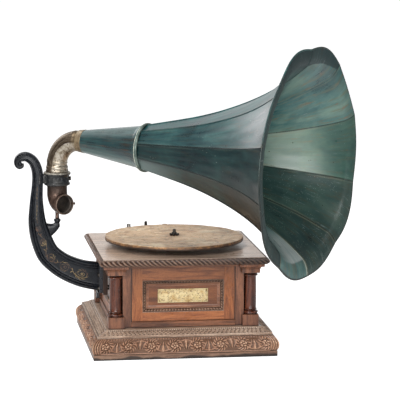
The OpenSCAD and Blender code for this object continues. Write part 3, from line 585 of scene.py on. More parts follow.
def make_bore(name, a_, b_, dirt):
    """Bare sheet inside a pipe or on a rolled lip, dulled grey."""
    m = Mat(name)
    big = m.noise(60, 4, 0.65, warp=0.4)
    med = m.noise(240, 4, 0.7)
    col = m.mix(m.step(big, 0.36, 0.62), srgb(*a_), srgb(*b_))
    col = m.mix(m.mul(m.step(med, 0.55, 0.66), 0.5), col, srgb(*dirt))
    m.set("Base Color", col)
    m.set("Metallic", m.range(med, 0.3, 0.7, 0.55, 0.25))
    m.set("Roughness", m.range(big, 0.3, 0.7, 0.36, 0.54))
    m.bump(med, 0.3, 0.0006)
    return m.m


def make_horn(name, inside, throat=None):
    """Old green enamel on sheet. The object's own Z runs along the horn."""
    m = Mat(name)
    x, y, z = m.xyz()
    r = m.f("SQRT", m.add(m.mul(x, x), m.mul(y, y)))
    cs, sn = m.f("DIVIDE", x, r), m.f("DIVIDE", y, r)
    arc = m.add(z, r)
    ang = m.f("ARCTAN2", y, x)
    idx = m.f("FLOOR", m.f("DIVIDE", m.sub(ang, math.radians(2)), math.radians(36)))
    wn = m.t.nodes.new("ShaderNodeTexWhiteNoise")
    wn.noise_dimensions = "1D"
    m.put(wn.inputs["W"], m.add(idx, 17.3))
    per = wn.outputs["Value"]
    streak = m.noise(1, 5, 0.62, m.vec(m.mul(cs, 7), m.mul(sn, 7), m.mul(arc, 9)), 0.5)
    streak2 = m.noise(1, 5, 0.65, m.vec(m.mul(cs, 26), m.mul(sn, 26), m.mul(arc, 14)), 0.3)
    cloud = m.noise(9, 5, 0.6, warp=0.6)
    med = m.noise(55, 5, 0.65)
    fine = m.noise(520, 4, 0.65)
    if inside:
        a, b, c, d = srgb(60, 100, 94), srgb(88, 122, 108), srgb(42, 82, 80), srgb(34, 58, 58)
    else:
        a, b, c, d = srgb(18, 54, 57), srgb(40, 78, 78), srgb(12, 39, 45), srgb(17, 30, 30)
    col = m.ramp(m.add(m.mul(cloud, 0.6), m.mul(streak, 0.4)), [(0.34, d), (0.43, c), (0.52, a), (0.64, b)])
    olive = srgb(84, 90, 66) if inside else srgb(46, 54, 44)
    col = m.mix(m.mul(m.step(streak2, 0.50, 0.66), 0.5 if inside else 0.35), col, olive)
    rust = srgb(104, 84, 62) if inside else srgb(60, 48, 34)
    col = m.mix(m.mul(m.step(m.add(m.mul(streak2, 0.55), m.mul(med, 0.45)), 0.55, 0.66), 0.65 if inside else 0.45), col, rust)
    # each petal's colour is scaled as painted light and shade for the way it faces, mixed with its own aging: from the
    # one under the mouth round the far side
    if throat:
        tone = [throat] * 10
    elif inside:
        tone = [(0.42, 0.42, 0.44), (0.52, 0.55, 0.55), (1.55, 1.45, 1.32), (2.15, 1.78, 1.9), (2.18, 1.66, 1.78),
                (0.50, 0.56, 0.60), (0.8, 0.8, 0.8), (0.7, 0.7, 0.7), (0.6, 0.6, 0.6), (2.0, 1.65, 1.8)]
    else:
        tone = [(q, q * 1.04, q) for q in (0.9, 0.9, 1.0, 1.0, 1.1, 1.9, 1.45, 0.56, 0.66, 1.0)]
    tn = m.ramp(m.f("DIVIDE", m.add(idx, 5.5), 10.0), [(k_ / 10, tuple(q / 2 for q in tone[(k_ + 5) % 10])) for k_ in range(10)], "CONSTANT")
    col = m.v("MULTIPLY", col, m.v("SCALE", tn, scale=2.0))
    # seams gather dirt; the light band beside them is a painted highlight of the fold, with the enamel rubbed there
    fr = m.f("FRACT", m.f("DIVIDE", m.sub(ang, math.radians(2)), math.radians(36)))
    near = m.mul(m.f("MINIMUM", fr, m.f("SUBTRACT", 1.0, fr)), m.mul(r, 0.628))
    wob = m.mul(m.sub(med, 0.5), 0.004)
    if not throat:
        # painted highlight of the fold beside the seam, with rubbed enamel
        rub = m.mul(m.step(m.add(near, wob), 0.0012, 0.0024), m.f("SUBTRACT", 1.0, m.step(m.add(near, wob), 0.003, 0.006)))
        col = m.mix(m.mul(m.mul(rub, m.step(streak2, 0.42, 0.56)), 0.4 if inside else 0.22), col, srgb(128, 136, 112) if inside else srgb(88, 104, 98))
        seam = m.f("SUBTRACT", 1.0, m.step(m.add(near, m.mul(wob, 0.3)), 0.0007, 0.0019))
        if inside:
            half = m.add(idx, fr)
            seam = m.mul(seam, m.f("SUBTRACT", 1.0, m.mul(m.mul(m.f("GREATER_THAN", half, 3.5), m.f("LESS_THAN", half, 4.5)), 0.75)))
        col = m.mix(m.mul(seam, 0.8), col, srgb(34, 40, 32) if inside else srgb(18, 24, 22))
    # paler towards the mouth: worn enamel with a painted reflection on the rim
    rim = m.step(m.add(z, m.mul(m.sub(streak2, 0.5), 0.10)), 0.50, 0.57)
    col = m.mix(m.mul(rim, 0.25 if inside else 0.2), col, srgb(74, 80, 62))
    lip = None
    if inside:  # painted shade on the turned lip of the two top petals, down to a sharp fold, with a soft painted shadow beside the seam below it
        p4 = m.mul(m.f("GREATER_THAN", idx, 3.5), m.f("LESS_THAN", idx, 4.5))
        p5 = m.f("LESS_THAN", idx, -4.5)
        line = m.sub(m.add(z, m.mul(m.sub(med, 0.5), 0.001)), m.range(fr, 0.0, 1.0, 0.5444, 0.5322))
        fold = m.mul(m.step(line, -0.0004, 0.0006), p4)
        shade = m.mul(m.mul(m.step(m.sub(fr, m.range(z, 0.436, 0.500, 0.05, 0.92)), -0.02, 0.16), p4), m.f("LESS_THAN", z, 0.5322))
        lip_painted_shade = m.f("MAXIMUM", m.mul(fold, 0.85), m.f("MAXIMUM", m.mul(shade, 0.45), m.mul(p5, m.range(z, 0.45, 0.54, 0.1, 0.6))))
        col = m.mix(lip_painted_shade, col, srgb(16, 42, 46))
        # painted shade along the lip of four more petals, from the top round the near side
        far = m.mul(m.f("LESS_THAN", idx, -1.5), m.step(z, 0.515, 0.535))
        col = m.mix(m.mul(far, 0.7), col, srgb(16, 42, 46))
        lip = m.f("MAXIMUM", fold, far)
        p9 = m.mul(m.f("LESS_THAN", idx, -0.5), m.f("GREATER_THAN", idx, -1.5))
        # the bottom petal darker deep in the horn: painted shade
        col = m.mix(m.mul(m.mul(p9, m.f("SUBTRACT", 1.0, m.step(z, 0.34, 0.47))), 0.65), col, srgb(24, 52, 50))
        # a soft pale patch across the middle of a far-side petal: painted highlight
        p2 = m.mul(m.f("GREATER_THAN", idx, 1.5), m.f("LESS_THAN", idx, 2.5))
        col = m.mix(m.mul(m.mul(p2, m.mul(m.step(z, 0.36, 0.41), m.f("SUBTRACT", 1.0, m.step(z, 0.45, 0.53)))), 0.35), col, srgb(190, 208, 190))
        # the low facet of the bottom petal lightened towards the lip, in streaks: painted reflection
        worn = m.mul(m.mul(p9, m.f("SUBTRACT", 1.0, m.step(m.add(z, m.mul(m.sub(fr, 0.5), 0.006)), 0.5365, 0.5390))), m.step(z, 0.44, 0.50))
        worn = m.mul(worn, m.step(m.add(fr, m.mul(m.sub(cloud, 0.5), 0.35)), 0.02, 0.55))
        col = m.mix(m.mul(worn, m.range(streak2, 0.35, 0.65, 0.42, 0.84)), col, srgb(196, 204, 202))
        bare = m.mul(m.mul(p9, m.step(fr, 0.958, 0.982)), m.step(z, 0.47, 0.50))
        col = m.mix(m.mul(bare, 0.6), col, srgb(190, 196, 180))
        scuffs = m.step(m.noise(1, 4, 0.7, m.vec(m.mul(cs, 60), m.mul(sn, 60), m.mul(arc, 16)), 0.8), 0.62, 0.68)
        col = m.mix(m.mul(scuffs, 0.4), col, srgb(150, 166, 164))
        # a spatter of pale dots low in the bell
        low = m.mul(m.f("GREATER_THAN", idx, -1.5), m.f("LESS_THAN", idx, 1.5))
        dots = m.mul(m.mul(m.f("LESS_THAN", m.vor(230, rand=1.0), 0.17), m.step(m.noise(20, 3, 0.6), 0.44, 0.56)), low)
        col = m.mix(m.mul(dots, 0.55), col, srgb(150, 172, 162))
    # pale flecks and dark pits
    fleck = m.mul(m.f("LESS_THAN", m.vor(110, rand=1.0), 0.07), m.step(m.noise(16, 2, 0.5), 0.54, 0.6))
    col = m.mix(m.mul(fleck, 0.6), col, srgb(170, 184, 176))
    pit = m.mul(m.f("LESS_THAN", m.vor(60), 0.08), m.step(m.noise(12, 2, 0.5), 0.48, 0.56))
    col = m.mix(m.mul(pit, 0.75), col, srgb(26, 26, 20))
    if not throat:
        col = m.mix(m.range(per, 0, 1, 0.0, 0.15), col, srgb(44, 52, 50))
    if not inside and not throat:
        # painted reflection of the floor on the underside near the throat end
        close = m.mul(m.f("SUBTRACT", 1.0, m.step(m.add(z, m.mul(m.sub(streak2, 0.5), 0.05)), 0.165, 0.30)), m.step(cs, 0.25, 0.6))
        col = m.mix(m.mul(close, 0.6), col, srgb(120, 136, 132))
        # painted shade on the underside and lower sides further along
        underside_painted_shade = m.mul(m.mul(m.step(z, 0.33, 0.44), m.step(cs, -0.1, 0.4)), 0.7)
        col = m.mix(underside_painted_shade, col, srgb(15, 20, 15))
    if inside:
        # the same far-side petal darker towards the lip: painted shade
        p2b = m.mul(m.mul(m.f("GREATER_THAN", idx, 1.5), m.f("LESS_THAN", idx, 2.5)), m.step(z, 0.46, 0.53))
        col = m.mix(m.mul(p2b, 0.42), col, srgb(34, 62, 54))
    if throat:  # painted highlight along the top and painted reflection of the floor along the underside of the cone
        col = m.mix(m.mul(m.step(m.add(cs, m.mul(m.sub(streak2, 0.5), 0.3)), 0.30, 0.85), 0.6), col, srgb(134, 150, 148))
        col = m.mix(m.mul(m.step(m.add(m.sub(0.0, cs), m.mul(m.sub(streak2, 0.5), 0.4)), 0.35, 0.95), 0.45), col, srgb(134, 152, 150))
    m.set("Base Color", col)
    rough = m.add(m.range(m.add(m.mul(cloud, 0.5), m.mul(streak, 0.5)), 0.38, 0.62, 0.25, 0.42), m.mul(m.sub(fine, 0.5), 0.12))
    rough = m.add(rough, m.mul(rim, 0.08))
    m.set("Roughness", m.add(rough, m.mul(lip, 0.22)) if inside else rough)
    m.b.inputs["Metallic"].default_value = 0.0
    m.b.inputs["Specular IOR Level"].default_value = 0.5
    m.b.inputs["Coat Weight"].default_value = 0.2
    m.b.inputs["Coat Roughness"].default_value = 0.16
    h = m.add(m.mul(fine, 0.25), m.add(m.mul(med, 0.6), m.mul(pit, -0.5)))
    m.bump(h, 0.28, 0.0009)
    return m.m


def make_line():
    m = Mat("ochre_line")
    n = m.noise(180, 4, 0.7)
    col = m.mix(m.step(n, 0.45, 0.6), srgb(206, 208, 190), srgb(140, 152, 138))
    m.set("Base Color", col)
    m.set("Roughness", m.range(n, 0.3, 0.7, 0.3, 0.5))
    m.bump(n, 0.2, 0.0005)
    return m.m


def make_cover():
    """The turntable's worn cover: tan, stained, threadbare, with dark specks."""
    m = Mat("worn_cover")
    x, y, z = m.xyz()
    r = m.f("SQRT", m.add(m.mul(x, x), m.mul(y, y)))
    big = m.noise(11, 4, 0.6, warp=0.7)
    med = m.noise(46, 5, 0.68, warp=0.3)
    fine = m.noise(420, 4, 0.7)
    weave = m.f("MULTIPLY", m.f("SINE", m.mul(x, 5200)), m.f("SINE", m.mul(y, 5200)))
    col = m.ramp(big, [(0.3, srgb(150, 112, 74)), (0.45, srgb(184, 150, 110)), (0.56, srgb(196, 166, 128)), (0.7, srgb(166, 124, 82))])
    grey = m.step(m.noise(14, 5, 0.65, m.v("ADD", m.P, (0.5, 0.8, 0)), 0.9), 0.5, 0.6)
    col = m.mix(m.mul(grey, 0.4), col, srgb(160, 152, 128))
    col = m.mix(m.mul(m.step(med, 0.50, 0.64), 0.75), col, srgb(140, 104, 70))
    col = m.mix(m.mul(m.step(m.noise(23, 5, 0.6, m.v("ADD", m.P, (0.3, 0.1, 0)), 0.4), 0.55, 0.66), 0.6), col, srgb(224, 206, 172))
    rimd = m.step(m.add(r, m.mul(m.sub(med, 0.5), 0.03)), 0.138, 0.153)
    col = m.mix(m.mul(rimd, 0.3), col, srgb(126, 94, 66))
    crack = m.mul(m.f("LESS_THAN", m.vor(13, vec=m.v("ADD", m.P, m.vec(m.mul(med, 0.05), m.mul(fine, 0.01), 0.0)), feature="DISTANCE_TO_EDGE"), 0.012), m.step(m.noise(9, 2, 0.5), 0.5, 0.56))
    col = m.mix(m.mul(crack, 0.6), col, srgb(88, 62, 42))
    hub = m.f("SUBTRACT", 1.0, m.step(m.add(r, m.mul(m.sub(med, 0.5), 0.02)), 0.012, 0.034))
    col = m.mix(m.mul(hub, 0.4), col, srgb(128, 96, 62))
    stain = m.mul(m.step(m.noise(19, 5, 0.72, m.v("ADD", m.P, (0.7, 0.4, 0)), 1.2), 0.59, 0.635), 0.75)
    col = m.mix(stain, col, srgb(104, 72, 46))
    scuff = m.step(m.noise(1, 4, 0.6, m.v("MULTIPLY", m.v("ADD", m.P, (0.2, 0.9, 0)), (26, 150, 1)), 0.6), 0.60, 0.68)
    col = m.mix(m.mul(scuff, 0.55), col, srgb(216, 150, 92))
    speck = m.mul(m.f("LESS_THAN", m.vor(60), 0.15), m.step(m.noise(17, 2, 0.5), 0.46, 0.56))
    col = m.mix(m.mul(speck, 0.85), col, srgb(44, 34, 26))
    col = m.mix(m.mul(m.step(fine, 0.55, 0.72), 0.3), col, srgb(120, 86, 56))
    # lighter on the left and darker on the right: painted light and shade
    k = m.range(m.add(x, m.mul(m.sub(big, 0.5), 0.12)), -0.06, 0.14, 1.2, 0.84)
    col = m.v("MULTIPLY", col, m.vec(k, k, k))
    m.set("Base Color", col)
    m.set("Roughness", m.range(med, 0.3, 0.7, 0.62, 0.85))
    m.b.inputs["Sheen Weight"].default_value = 0.25
    m.b.inputs["Sheen Roughness"].default_value = 0.5
    m.b.inputs["Specular IOR Level"].default_value = 0.25
    m.bump(m.add(m.mul(fine, 0.8), m.add(m.mul(weave, 0.15), m.mul(med, 0.8))), 0.5, 0.0009)
    return m.m


def make_platter():
    m = Mat("platter_edge")
    med = m.noise(90, 5, 0.7)
    fine = m.noise(600, 3, 0.6)
    col = m.mix(m.step(med, 0.42, 0.62), srgb(104, 78, 58), srgb(172, 128, 88))
    col = m.mix(m.mul(m.step(fine, 0.56, 0.7), 0.5), col, srgb(40, 30, 24))
    x, y, z = m.xyz()
    r = m.f("SQRT", m.add(m.mul(x, x), m.mul(y, y)))
    # painted shade on the underside and the lower part of the rim
    under = m.f("MAXIMUM", m.f("SUBTRACT", 1.0, m.step(r, 0.1478, 0.1502)), m.f("SUBTRACT", 1.0, m.step(m.add(z, m.mul(m.sub(med, 0.5), 0.002)), 0.2268, 0.2296)))
    col = m.mix(m.mul(under, 0.88), col, srgb(34, 27, 23))
    m.set("Base Color", col)
    m.set("Metallic", m.mul(m.range(med, 0.35, 0.65, 0.15, 0.6), m.f("SUBTRACT", 1.0, m.mul(under, 0.9))))
    m.set("Roughness", m.range(fine, 0.3, 0.7, 0.38, 0.6))
    m.bump(m.add(med, m.mul(fine, 0.4)), 0.4, 0.0007)
    return m.m


def make_plaque():
    """A bare old plaque: pale brass sheet, foxed with brown specks."""
    m = Mat("plaque_sheet")
    x, y, z = m.xyz()
    big = m.noise(60, 4, 0.6, warp=0.5)
    med = m.noise(260, 5, 0.72)
    col = m.ramp(big, [(0.3, srgb(196, 172, 118)), (0.5, srgb(214, 196, 152)), (0.68, srgb(184, 150, 94))])
    spot = m.mul(m.step(m.noise(380, 3, 0.6), 0.53, 0.60), m.step(m.noise(90, 3, 0.6), 0.40, 0.54))
    col = m.mix(m.mul(spot, 0.85), col, srgb(104, 72, 40))
    col = m.mix(m.mul(m.step(med, 0.55, 0.66), 0.6), col, srgb(142, 108, 62))
    ex = m.f("DIVIDE", m.f("ABSOLUTE", x), 0.0545)
    ez = m.f("DIVIDE", m.f("ABSOLUTE", m.sub(z, 0.1266)), 0.015)
    rim = m.step(m.add(m.f("MAXIMUM", m.mul(ex, 1.0), m.mul(ez, 1.0)), m.mul(m.sub(med, 0.5), 0.12)), 0.92, 1.0)
    col = m.mix(m.mul(rim, 0.5), col, srgb(140, 108, 62))
    m.set("Base Color", col)
    m.set("Metallic", m.range(spot, 0, 1, 0.45, 0.1))
    m.set("Roughness", m.range(med, 0.3, 0.7, 0.36, 0.52))
    m.bump(m.add(m.mul(spot, -0.8), m.mul(med, 0.6)), 0.35, 0.0004)
    return m.m


def make_felt():
    m = Mat("felt_pad")
    f = m.noise(1600, 4, 0.7)
    g = m.noise(200, 3, 0.6)
    m.set("Base Color", m.mix(m.step(f, 0.4, 0.65), srgb(74, 60, 46), srgb(118, 98, 76)))
    m.set("Roughness", m.range(g, 0.3, 0.7, 0.8, 0.95))
    m.b.inputs["Sheen Weight"].default_value = 0.5
    m.bump(f, 0.6, 0.0006)
    return m.m


mat_collar = make_japan("collar_japan", 0.95, (158, 156, 150), ((30, 33, 36), (58, 58, 57)))
mat_japan, mat_gilt, mat_nickel, mat_copper = make_japan(), make_gilt(), make_nickel(), make_copper()
mat_horn_out, mat_horn_in, mat_line = make_horn("horn_enamel_out", False), make_horn("horn_enamel_in", True), make_line()
mat_flange_rim = make_bore("flange_rim", (178, 172, 160), (120, 114, 104), (62, 58, 54))
mat_ferrule = make_bore("ferrule_tan", (150, 132, 104), (118, 100, 76), (80, 62, 44))
mat_throat = make_horn("horn_enamel_throat", False, (3.8, 1.75, 1.55))
mat_ring = make_bore("ring_enamel", (112, 126, 118), (74, 90, 85), (38, 50, 46))
mat_bore, mat_lip = make_bore("pipe_bore", (104, 94, 86), (70, 66, 62), (42, 38, 35)), make_bore("rolled_lip", (136, 116, 101), (94, 76, 66), (64, 48, 41))
mat_cover, mat_platter, mat_plaque, mat_felt = make_cover(), make_platter(), make_plaque(), make_felt()

# ------------------------------------------------------------------ case: CAD pieces that stay

def dress(node, mat, bevel=0.0, angle=30, seg=2):
    ob = NODES[node]
    ob.data.materials.clear()
    ob.data.materials.append(mat)
    ob.data.polygons.foreach_set("material_index", [0] * len(ob.data.polygons))
    w = ob.modifiers.new("weld", "WELD")
    w.merge_threshold = 1e-6
    if bevel:
        b = ob.modifiers.new("bevel", "BEVEL")
        b.width, b.segments, b.limit_method, b.angle_limit = bevel, seg, "ANGLE", math.radians(angle)
        b.harden_normals = False
    return ob


for node, mat, bev in (
    ("base_skirt", mat_skirt, 0.0014), ("bottom_board", mat_inner, 0.0006), ("corner_posts", mat_post, 0.0009),
    ("column_pedestals", mat_post, 0.0012), ("panel_frames", mat_frame, 0.0008), ("field_panels", mat_field, 0.0004),
    ("name_plate", mat_plaque, 0.00025), ("name_plate_pins", mat_pins, 0), ("frieze_rails", mat_rail, 0.0008),
    ("bottom_rails", mat_rail, 0.0012), ("motor_board", mat_deck, 0.0008), ("bracket_pad", mat_pad, 0.001),
    ("bracket_flange", mat_flange, 0.0012), ("bracket_bolts", mat_dark_steel, 0), ("thumb_screw", mat_dark_steel, 0.0005),
    ("crank_escutcheon", mat_brass, 0.0006), ("motor_top_plate", mat_brass, 0.0004), ("motor_bottom_plate", mat_brass, 0.0004),
    ("motor_pillars", mat_steel, 0.0003), ("motor_hangers", mat_dark_steel, 0.0003), ("governor_bearings", mat_brass, 0.0003),
    ("click_spring", mat_blued, 0), ("click_pawl", mat_steel, 0.0002), ("barrel_arbor", mat_steel, 0), ("arbor_bevel", mat_brass, 0),
    ("spring_barrel", mat_brass, 0), ("barrel_cover", mat_brass, 0), ("mainspring", mat_blued, 0), ("winding_shaft", mat_steel, 0),
    ("crank_arm", mat_dark_steel, 0.0007), ("intermediate_arbor", mat_steel, 0), ("intermediate_wheel", mat_brass, 0),
    ("turntable_spindle", mat_dark_steel, 0), ("worm_wheel", mat_brass, 0), ("turntable_platter", mat_platter, 0.0006),
    ("governor_shaft", mat_steel, 0), ("governor_weights", mat_lead, 0.0003), ("governor_springs", mat_blued, 0),
    ("governor_disc", mat_brass, 0.0003), ("brake_lever", mat_dark_steel, 0.0005), ("brake_pad", mat_felt, 0.0006),
    ("brake_pivot", mat_steel, 0.0004), ("regulator_lever", mat_steel, 0.0004),
):
    dress(node, mat, bev)


# ------------------------------------------------------------------ case: carved pieces
def ring_normal_profile(pts, step):
    return resample(pts, step=step)[0]


def base_relief(A, B, side):
    """Running vine: eight rosettes to a side, each with curling leaves round it and a fan between it and the next."""
    P = 49.6
    total = B.max()
    mid = total * 0.50
    i0 = np.floor(A / P)
    ca = (i0 + 0.5) * P
    s = np.where(np.mod(i0, 2) == 0, 1.0, -1.0)
    x, y = A - ca, B - mid
    xs = x * s
    r, th = np.hypot(xs, y * 1.12), np.arctan2(y, xs)
    # two-armed whorl in the middle, standing proud
    arm = 0.5 + 0.5 * np.cos(5 * th - 0.50 * r + 0.9 * i0)
    whorl = (0.35 + 0.8 * arm ** 0.9) * (1 - ss(r, 6.8 + arm, 9.0 + arm)) * ss(r, 2.0, 3.0) * (0.75 + 0.25 * np.cos(0.9 * (r - 5.5))) + 1.1 * np.exp(-(r / 2.0) ** 4)
    # leaves that curl round it
    ribs = 0.5 + 0.5 * np.cos(13 * th + 0.62 * r * s + i0)
    curl = ribs ** 0.8 * ss(r, 9.0, 10.6) * (1 - ss(r, 14.6 + 1.2 * ribs, 17.4 + 1.2 * ribs)) * 0.80
    # fans half way between, opening up and down by turns
    cf = np.round(A / P) * P
    sf = np.where(np.mod(np.round(A / P), 2) == 0, 1.0, -1.0)
    fx, fy = A - cf, (B - mid) * sf + 15.0
    fr, ft = np.hypot(fx, fy), np.arctan2(fx, fy)
    fan = (0.35 + 0.65 * np.cos(ft * 12)) * ss(fr, 5, 8) * (1 - ss(fr, 25 + 2.4 * np.cos(ft * 12), 28.5 + 2.4 * np.cos(ft * 12))) * (1 - ss(np.abs(ft), 0.42, 0.62))
    fan = np.maximum(fan, 0) * 0.85
    stem = np.exp(-((y - 12.0 * np.cos(A / P * np.pi)) / 1.5) ** 2) * 0.75
    bead = (0.5 + 0.5 * np.cos(A * 2 * np.pi / 6.2)) ** 0.6 * np.exp(-((B - total * 0.93) / 1.5) ** 2) * 0.6
    lip = np.exp(-((B - 1.4) / 1.2) ** 2) * 0.7
    h = np.maximum.reduce([whorl, curl, stem * (r > 11), fan, bead, lip])
    nz = 0.05 * np.sin(A * 1.7 + 3 * side) * np.sin(B * 1.3)
    # a plain leaf folds over each corner
    c = 199.3 - np.abs(A)
    rib = (0.55 + 0.45 * np.cos(c * 1.25)) * (1 - ss(c, 14, 19)) * (0.35 + 0.65 * np.sin(np.pi * np.clip(B / total, 0, 1)))
    h = np.maximum(h * ss(c, 9, 17), rib)
    edge = ss(B, 0.0, 1.0) * (1 - ss(B, total - 1.0, total))
    return (h + nz) * 3.1 * edge - 1.3 * edge


prof = smooth_curve([(196, 12.2), (198.3, 16), (199.3, 23), (198.6, 30), (195, 37.5), (190.5, 43), (188.2, 45)], 10)
prof, _ = resample(prof, step=0.62)
v, f, hh = ringwalk(prof, np.array([(166, 45.0), (166, 12.2)]), base_relief, 700)
add_mesh("carved_base", v, f, mat_carved, "case", smooth=50, replaces=["base_carved_moulding"], height=hh)


def cap_relief(A, B, side):
    """Rows of small lapped leaves on the sloping cyma, a bead row above and hatching on the edge."""
    total = B.max()
    t = B / total
    P = 9.6
    rows = np.zeros_like(A)
    for k, (t0, t1) in enumerate(((0.30, 0.50), (0.47, 0.67), (0.64, 0.82))):
        x = np.mod(A + P / 2 * (k % 2) + P / 2, P) - P / 2
        u = np.clip((t - t0) / (t1 - t0), 0, 1)
        w = P * 0.46 * np.sqrt(np.clip(1 - (1 - u) ** 2, 0, 1)) * (1 - 0.15 * u)
        leaf = np.sqrt(np.clip(1 - (x / (w + 0.01)) ** 2, 0, 1)) * (t > t0) * (t < t1) * (1.0 - 0.55 * u)
        vein = 1 - 0.5 * np.exp(-(x / 0.6) ** 2)
        rows = np.maximum(rows, leaf * vein)
    x3 = np.mod(A + P / 4, P / 2) - P / 4
    bead = np.sqrt(np.clip(1 - (x3 / 2.0) ** 2 - ((t - 0.885) / 0.055) ** 2, 0, 1)) * 0.9
    hatch = (0.5 + 0.5 * np.cos(A * 2 * np.pi / (P / 3))) * ss(t, 0.10, 0.14) * (1 - ss(t, 0.20, 0.24)) * 0.4
    h = np.maximum.reduce([rows, bead, hatch])
    c = 188 - np.abs(A)
    k = ss(c, 5.5, 8)
    return h * 2.0 * k - 0.7 * k * ss(t, 0.27, 0.3) * (1 - ss(t, 0.94, 0.97))


top = smooth_curve([(183.4, 51.6), (181.5, 52.6), (177, 54.3), (172.5, 56.6), (169.4, 58.7), (167.6, 59.7)], 10)
prof = np.concatenate([[(187.4, 45.4), (188.1, 46.1), (188.1, 50.2), (187.4, 50.9), (184.6, 51.1)], top])
prof, _ = resample(prof, step=0.5)
v, f, hh = ringwalk(prof, np.array([(166.2, 60.0), (134, 60.0), (134, 45.1), (187.0, 45.1)]), cap_relief, 700)
add_mesh("carved_cap", v, f, mat_cap, "case", smooth=42, replaces=["base_cap_moulding"], height=hh)

# rope moulding: four strands laid up right round the deck's edge
R0, TURN, STR = 7.5, 42.9, 4
nphi, nx = 56, 520
parts, hs_ = [], []
for i in range(4):
    q = np.linspace(-1, 1, nx)
    phi = np.linspace(0, 2 * np.pi, nphi, endpoint=False)
    Q, PH = np.meshgrid(q, phi, indexing="ij")
    L = 182.0
    psi = STR * (PH + 2 * np.pi * Q * L / TURN)
    lay = np.abs(np.cos(psi / 2)) ** 0.8
    rr = R0 * (0.70 + 0.30 * lay)
    hs_.append(np.concatenate([lay.ravel(), [0.5, 0.5]]))
    rr = rr * (1 + 0.012 * np.sin(Q * 41 + i))
    d = 175.0 + rr * np.cos(PH)
    z = 204.0 + rr * np.sin(PH) * 0.97
    v = rotz(np.stack([Q * d, -d, z], -1), 90 * i).reshape(-1, 3)
    f = grid(nx, nphi, False, True)
    a, b = len(v), len(v) + 1
    v = np.concatenate([v, v[:nphi].mean(0)[None], v[-nphi:].mean(0)[None]])
    f += [(a, (j + 1) % nphi, j) for j in range(nphi)] + [(b, (nx - 1) * nphi + j, (nx - 1) * nphi + (j + 1) % nphi) for j in range(nphi)]
    parts.append((v, f))
v, f = join_parts(parts)
add_mesh("rope_edge", v, f, mat_rope, "case", smooth=60, replaces=["rope_moulding"], height=np.concatenate(hs_))


def frame_relief(A, B, P):
    """Egg and dart with a fillet on each side."""
    t = B
    x = np.mod(A, P) - P / 2
    egg = np.sqrt(np.clip(1 - (x / (P * 0.33)) ** 2 - ((t - 0.52) / 0.33) ** 2, 0, 1))
    rim = np.exp(-((np.hypot(x / (P * 0.42), (t - 0.52) / 0.4) - 1) / 0.12) ** 2) * 0.5 * ss(t, 0.12, 0.2) * (1 - ss(t, 0.8, 0.92))
    x2 = np.mod(A + P / 2, P) - P / 2
    dart = np.clip(1 - np.abs(x2) / (P * (0.12 - 0.08 * t)), 0, 1) * ss(t, 0.15, 0.25) * (1 - ss(t, 0.75, 0.85)) * 0.6
    return np.maximum.reduce([egg, rim, dart])


def picture_frame(side):
    """The carved frame round one field: mitred, its profile falling from the panel frame's face to the field."""
    HX, HZ = 88.2, 34.7
    q0 = np.array([0.0, 0.15, 0.9, 1.25, 1.35])
    h0 = np.array([-0.4, 0.55, 0.55, 0.2, -0.6])
    tq = np.linspace(0, 1, 26)
    ov = np.stack([1.4 + 5.8 * tq, -0.7 - 4.3 * tq ** 1.5], -1)
    fil = np.array([(7.25, -4.75), (7.75, -4.75), (7.85, -5.1)])
    tc_ = np.linspace(0, 1, 9)
    cove = np.stack([7.95 + 5.8 * tc_, -5.15 - 1.7 * (1 - (1 - tc_) ** 1.6)], -1)
    pr = np.concatenate([np.stack([q0, h0], -1), ov, fil, cove, [(13.8, -7.2)]])
    back = np.array([(4.0, -8.0), (0.0, -8.0)])
    nrm = normals2(pr)
    nrm = np.where((nrm[:, 1:] < 0), -nrm, nrm)
    t = np.clip((pr[:, 0] - 1.4) / 5.8, 0, 1)
    vs, hs = [], []
    for k, (ha, hb, npat) in enumerate(((HX, HZ, 26), (HZ, HX, 10), (HX, HZ, 26), (HZ, HX, 10))):
        nu = npat * 12
        s = -1 + 2 * np.arange(nu) / nu
        A = (s * 0.5 + 0.5) * npat
        AA, TT = np.meshgrid(A, t, indexing="ij")
        rel = frame_relief(AA * 7.0, TT, 7.0) * ((TT > 0) & (TT < 1)) * 1.7 - 0.35 * ((TT > 0) & (TT < 1))
        rel *= ss(1 - np.abs(s), 0.0, 0.6 / npat)[:, None] if npat > 3 else 1
        q = np.broadcast_to(pr[None, :, 0], rel.shape) + nrm[None, :, 0] * rel * 0.3
        h = np.broadcast_to(pr[None, :, 1], rel.shape) + nrm[None, :, 1] * rel
        q = np.concatenate([q, np.broadcast_to(back[None, :, 0], (nu, 2))], 1)
        h = np.concatenate([h, np.broadcast_to(back[None, :, 1], (nu, 2))], 1)
        along, across = s[:, None] * (ha - q), -(hb - q)
        for _ in range(k):
            along, across = -across, along
        vs.append(np.stack([along, -(150 + h), across + 127.0], -1))
        hs.append(np.concatenate([rel + 0.9 * ((TT <= 0) | (TT >= 1)), np.zeros((nu, 2))], 1))
    v = np.concatenate(vs)
    n, mcount = v.shape[:2]
    return rotz(v, 90 * side).reshape(-1, 3), grid(n, mcount, True, True), np.concatenate(hs).ravel(), [int(len(q0) + 28 <= j < len(pr)) for j in range(mcount)] * n


pf = [picture_frame(i) for i in range(4)]
v, f = join_parts([q[:2] for q in pf])
add_mesh("egg_and_dart", v, f, [mat_egg, mat_cove], "case", smooth=45, replaces=["field_mouldings"], height=np.concatenate([q[2] for q in pf]),
         slots=[j for q in pf for j in q[3]])

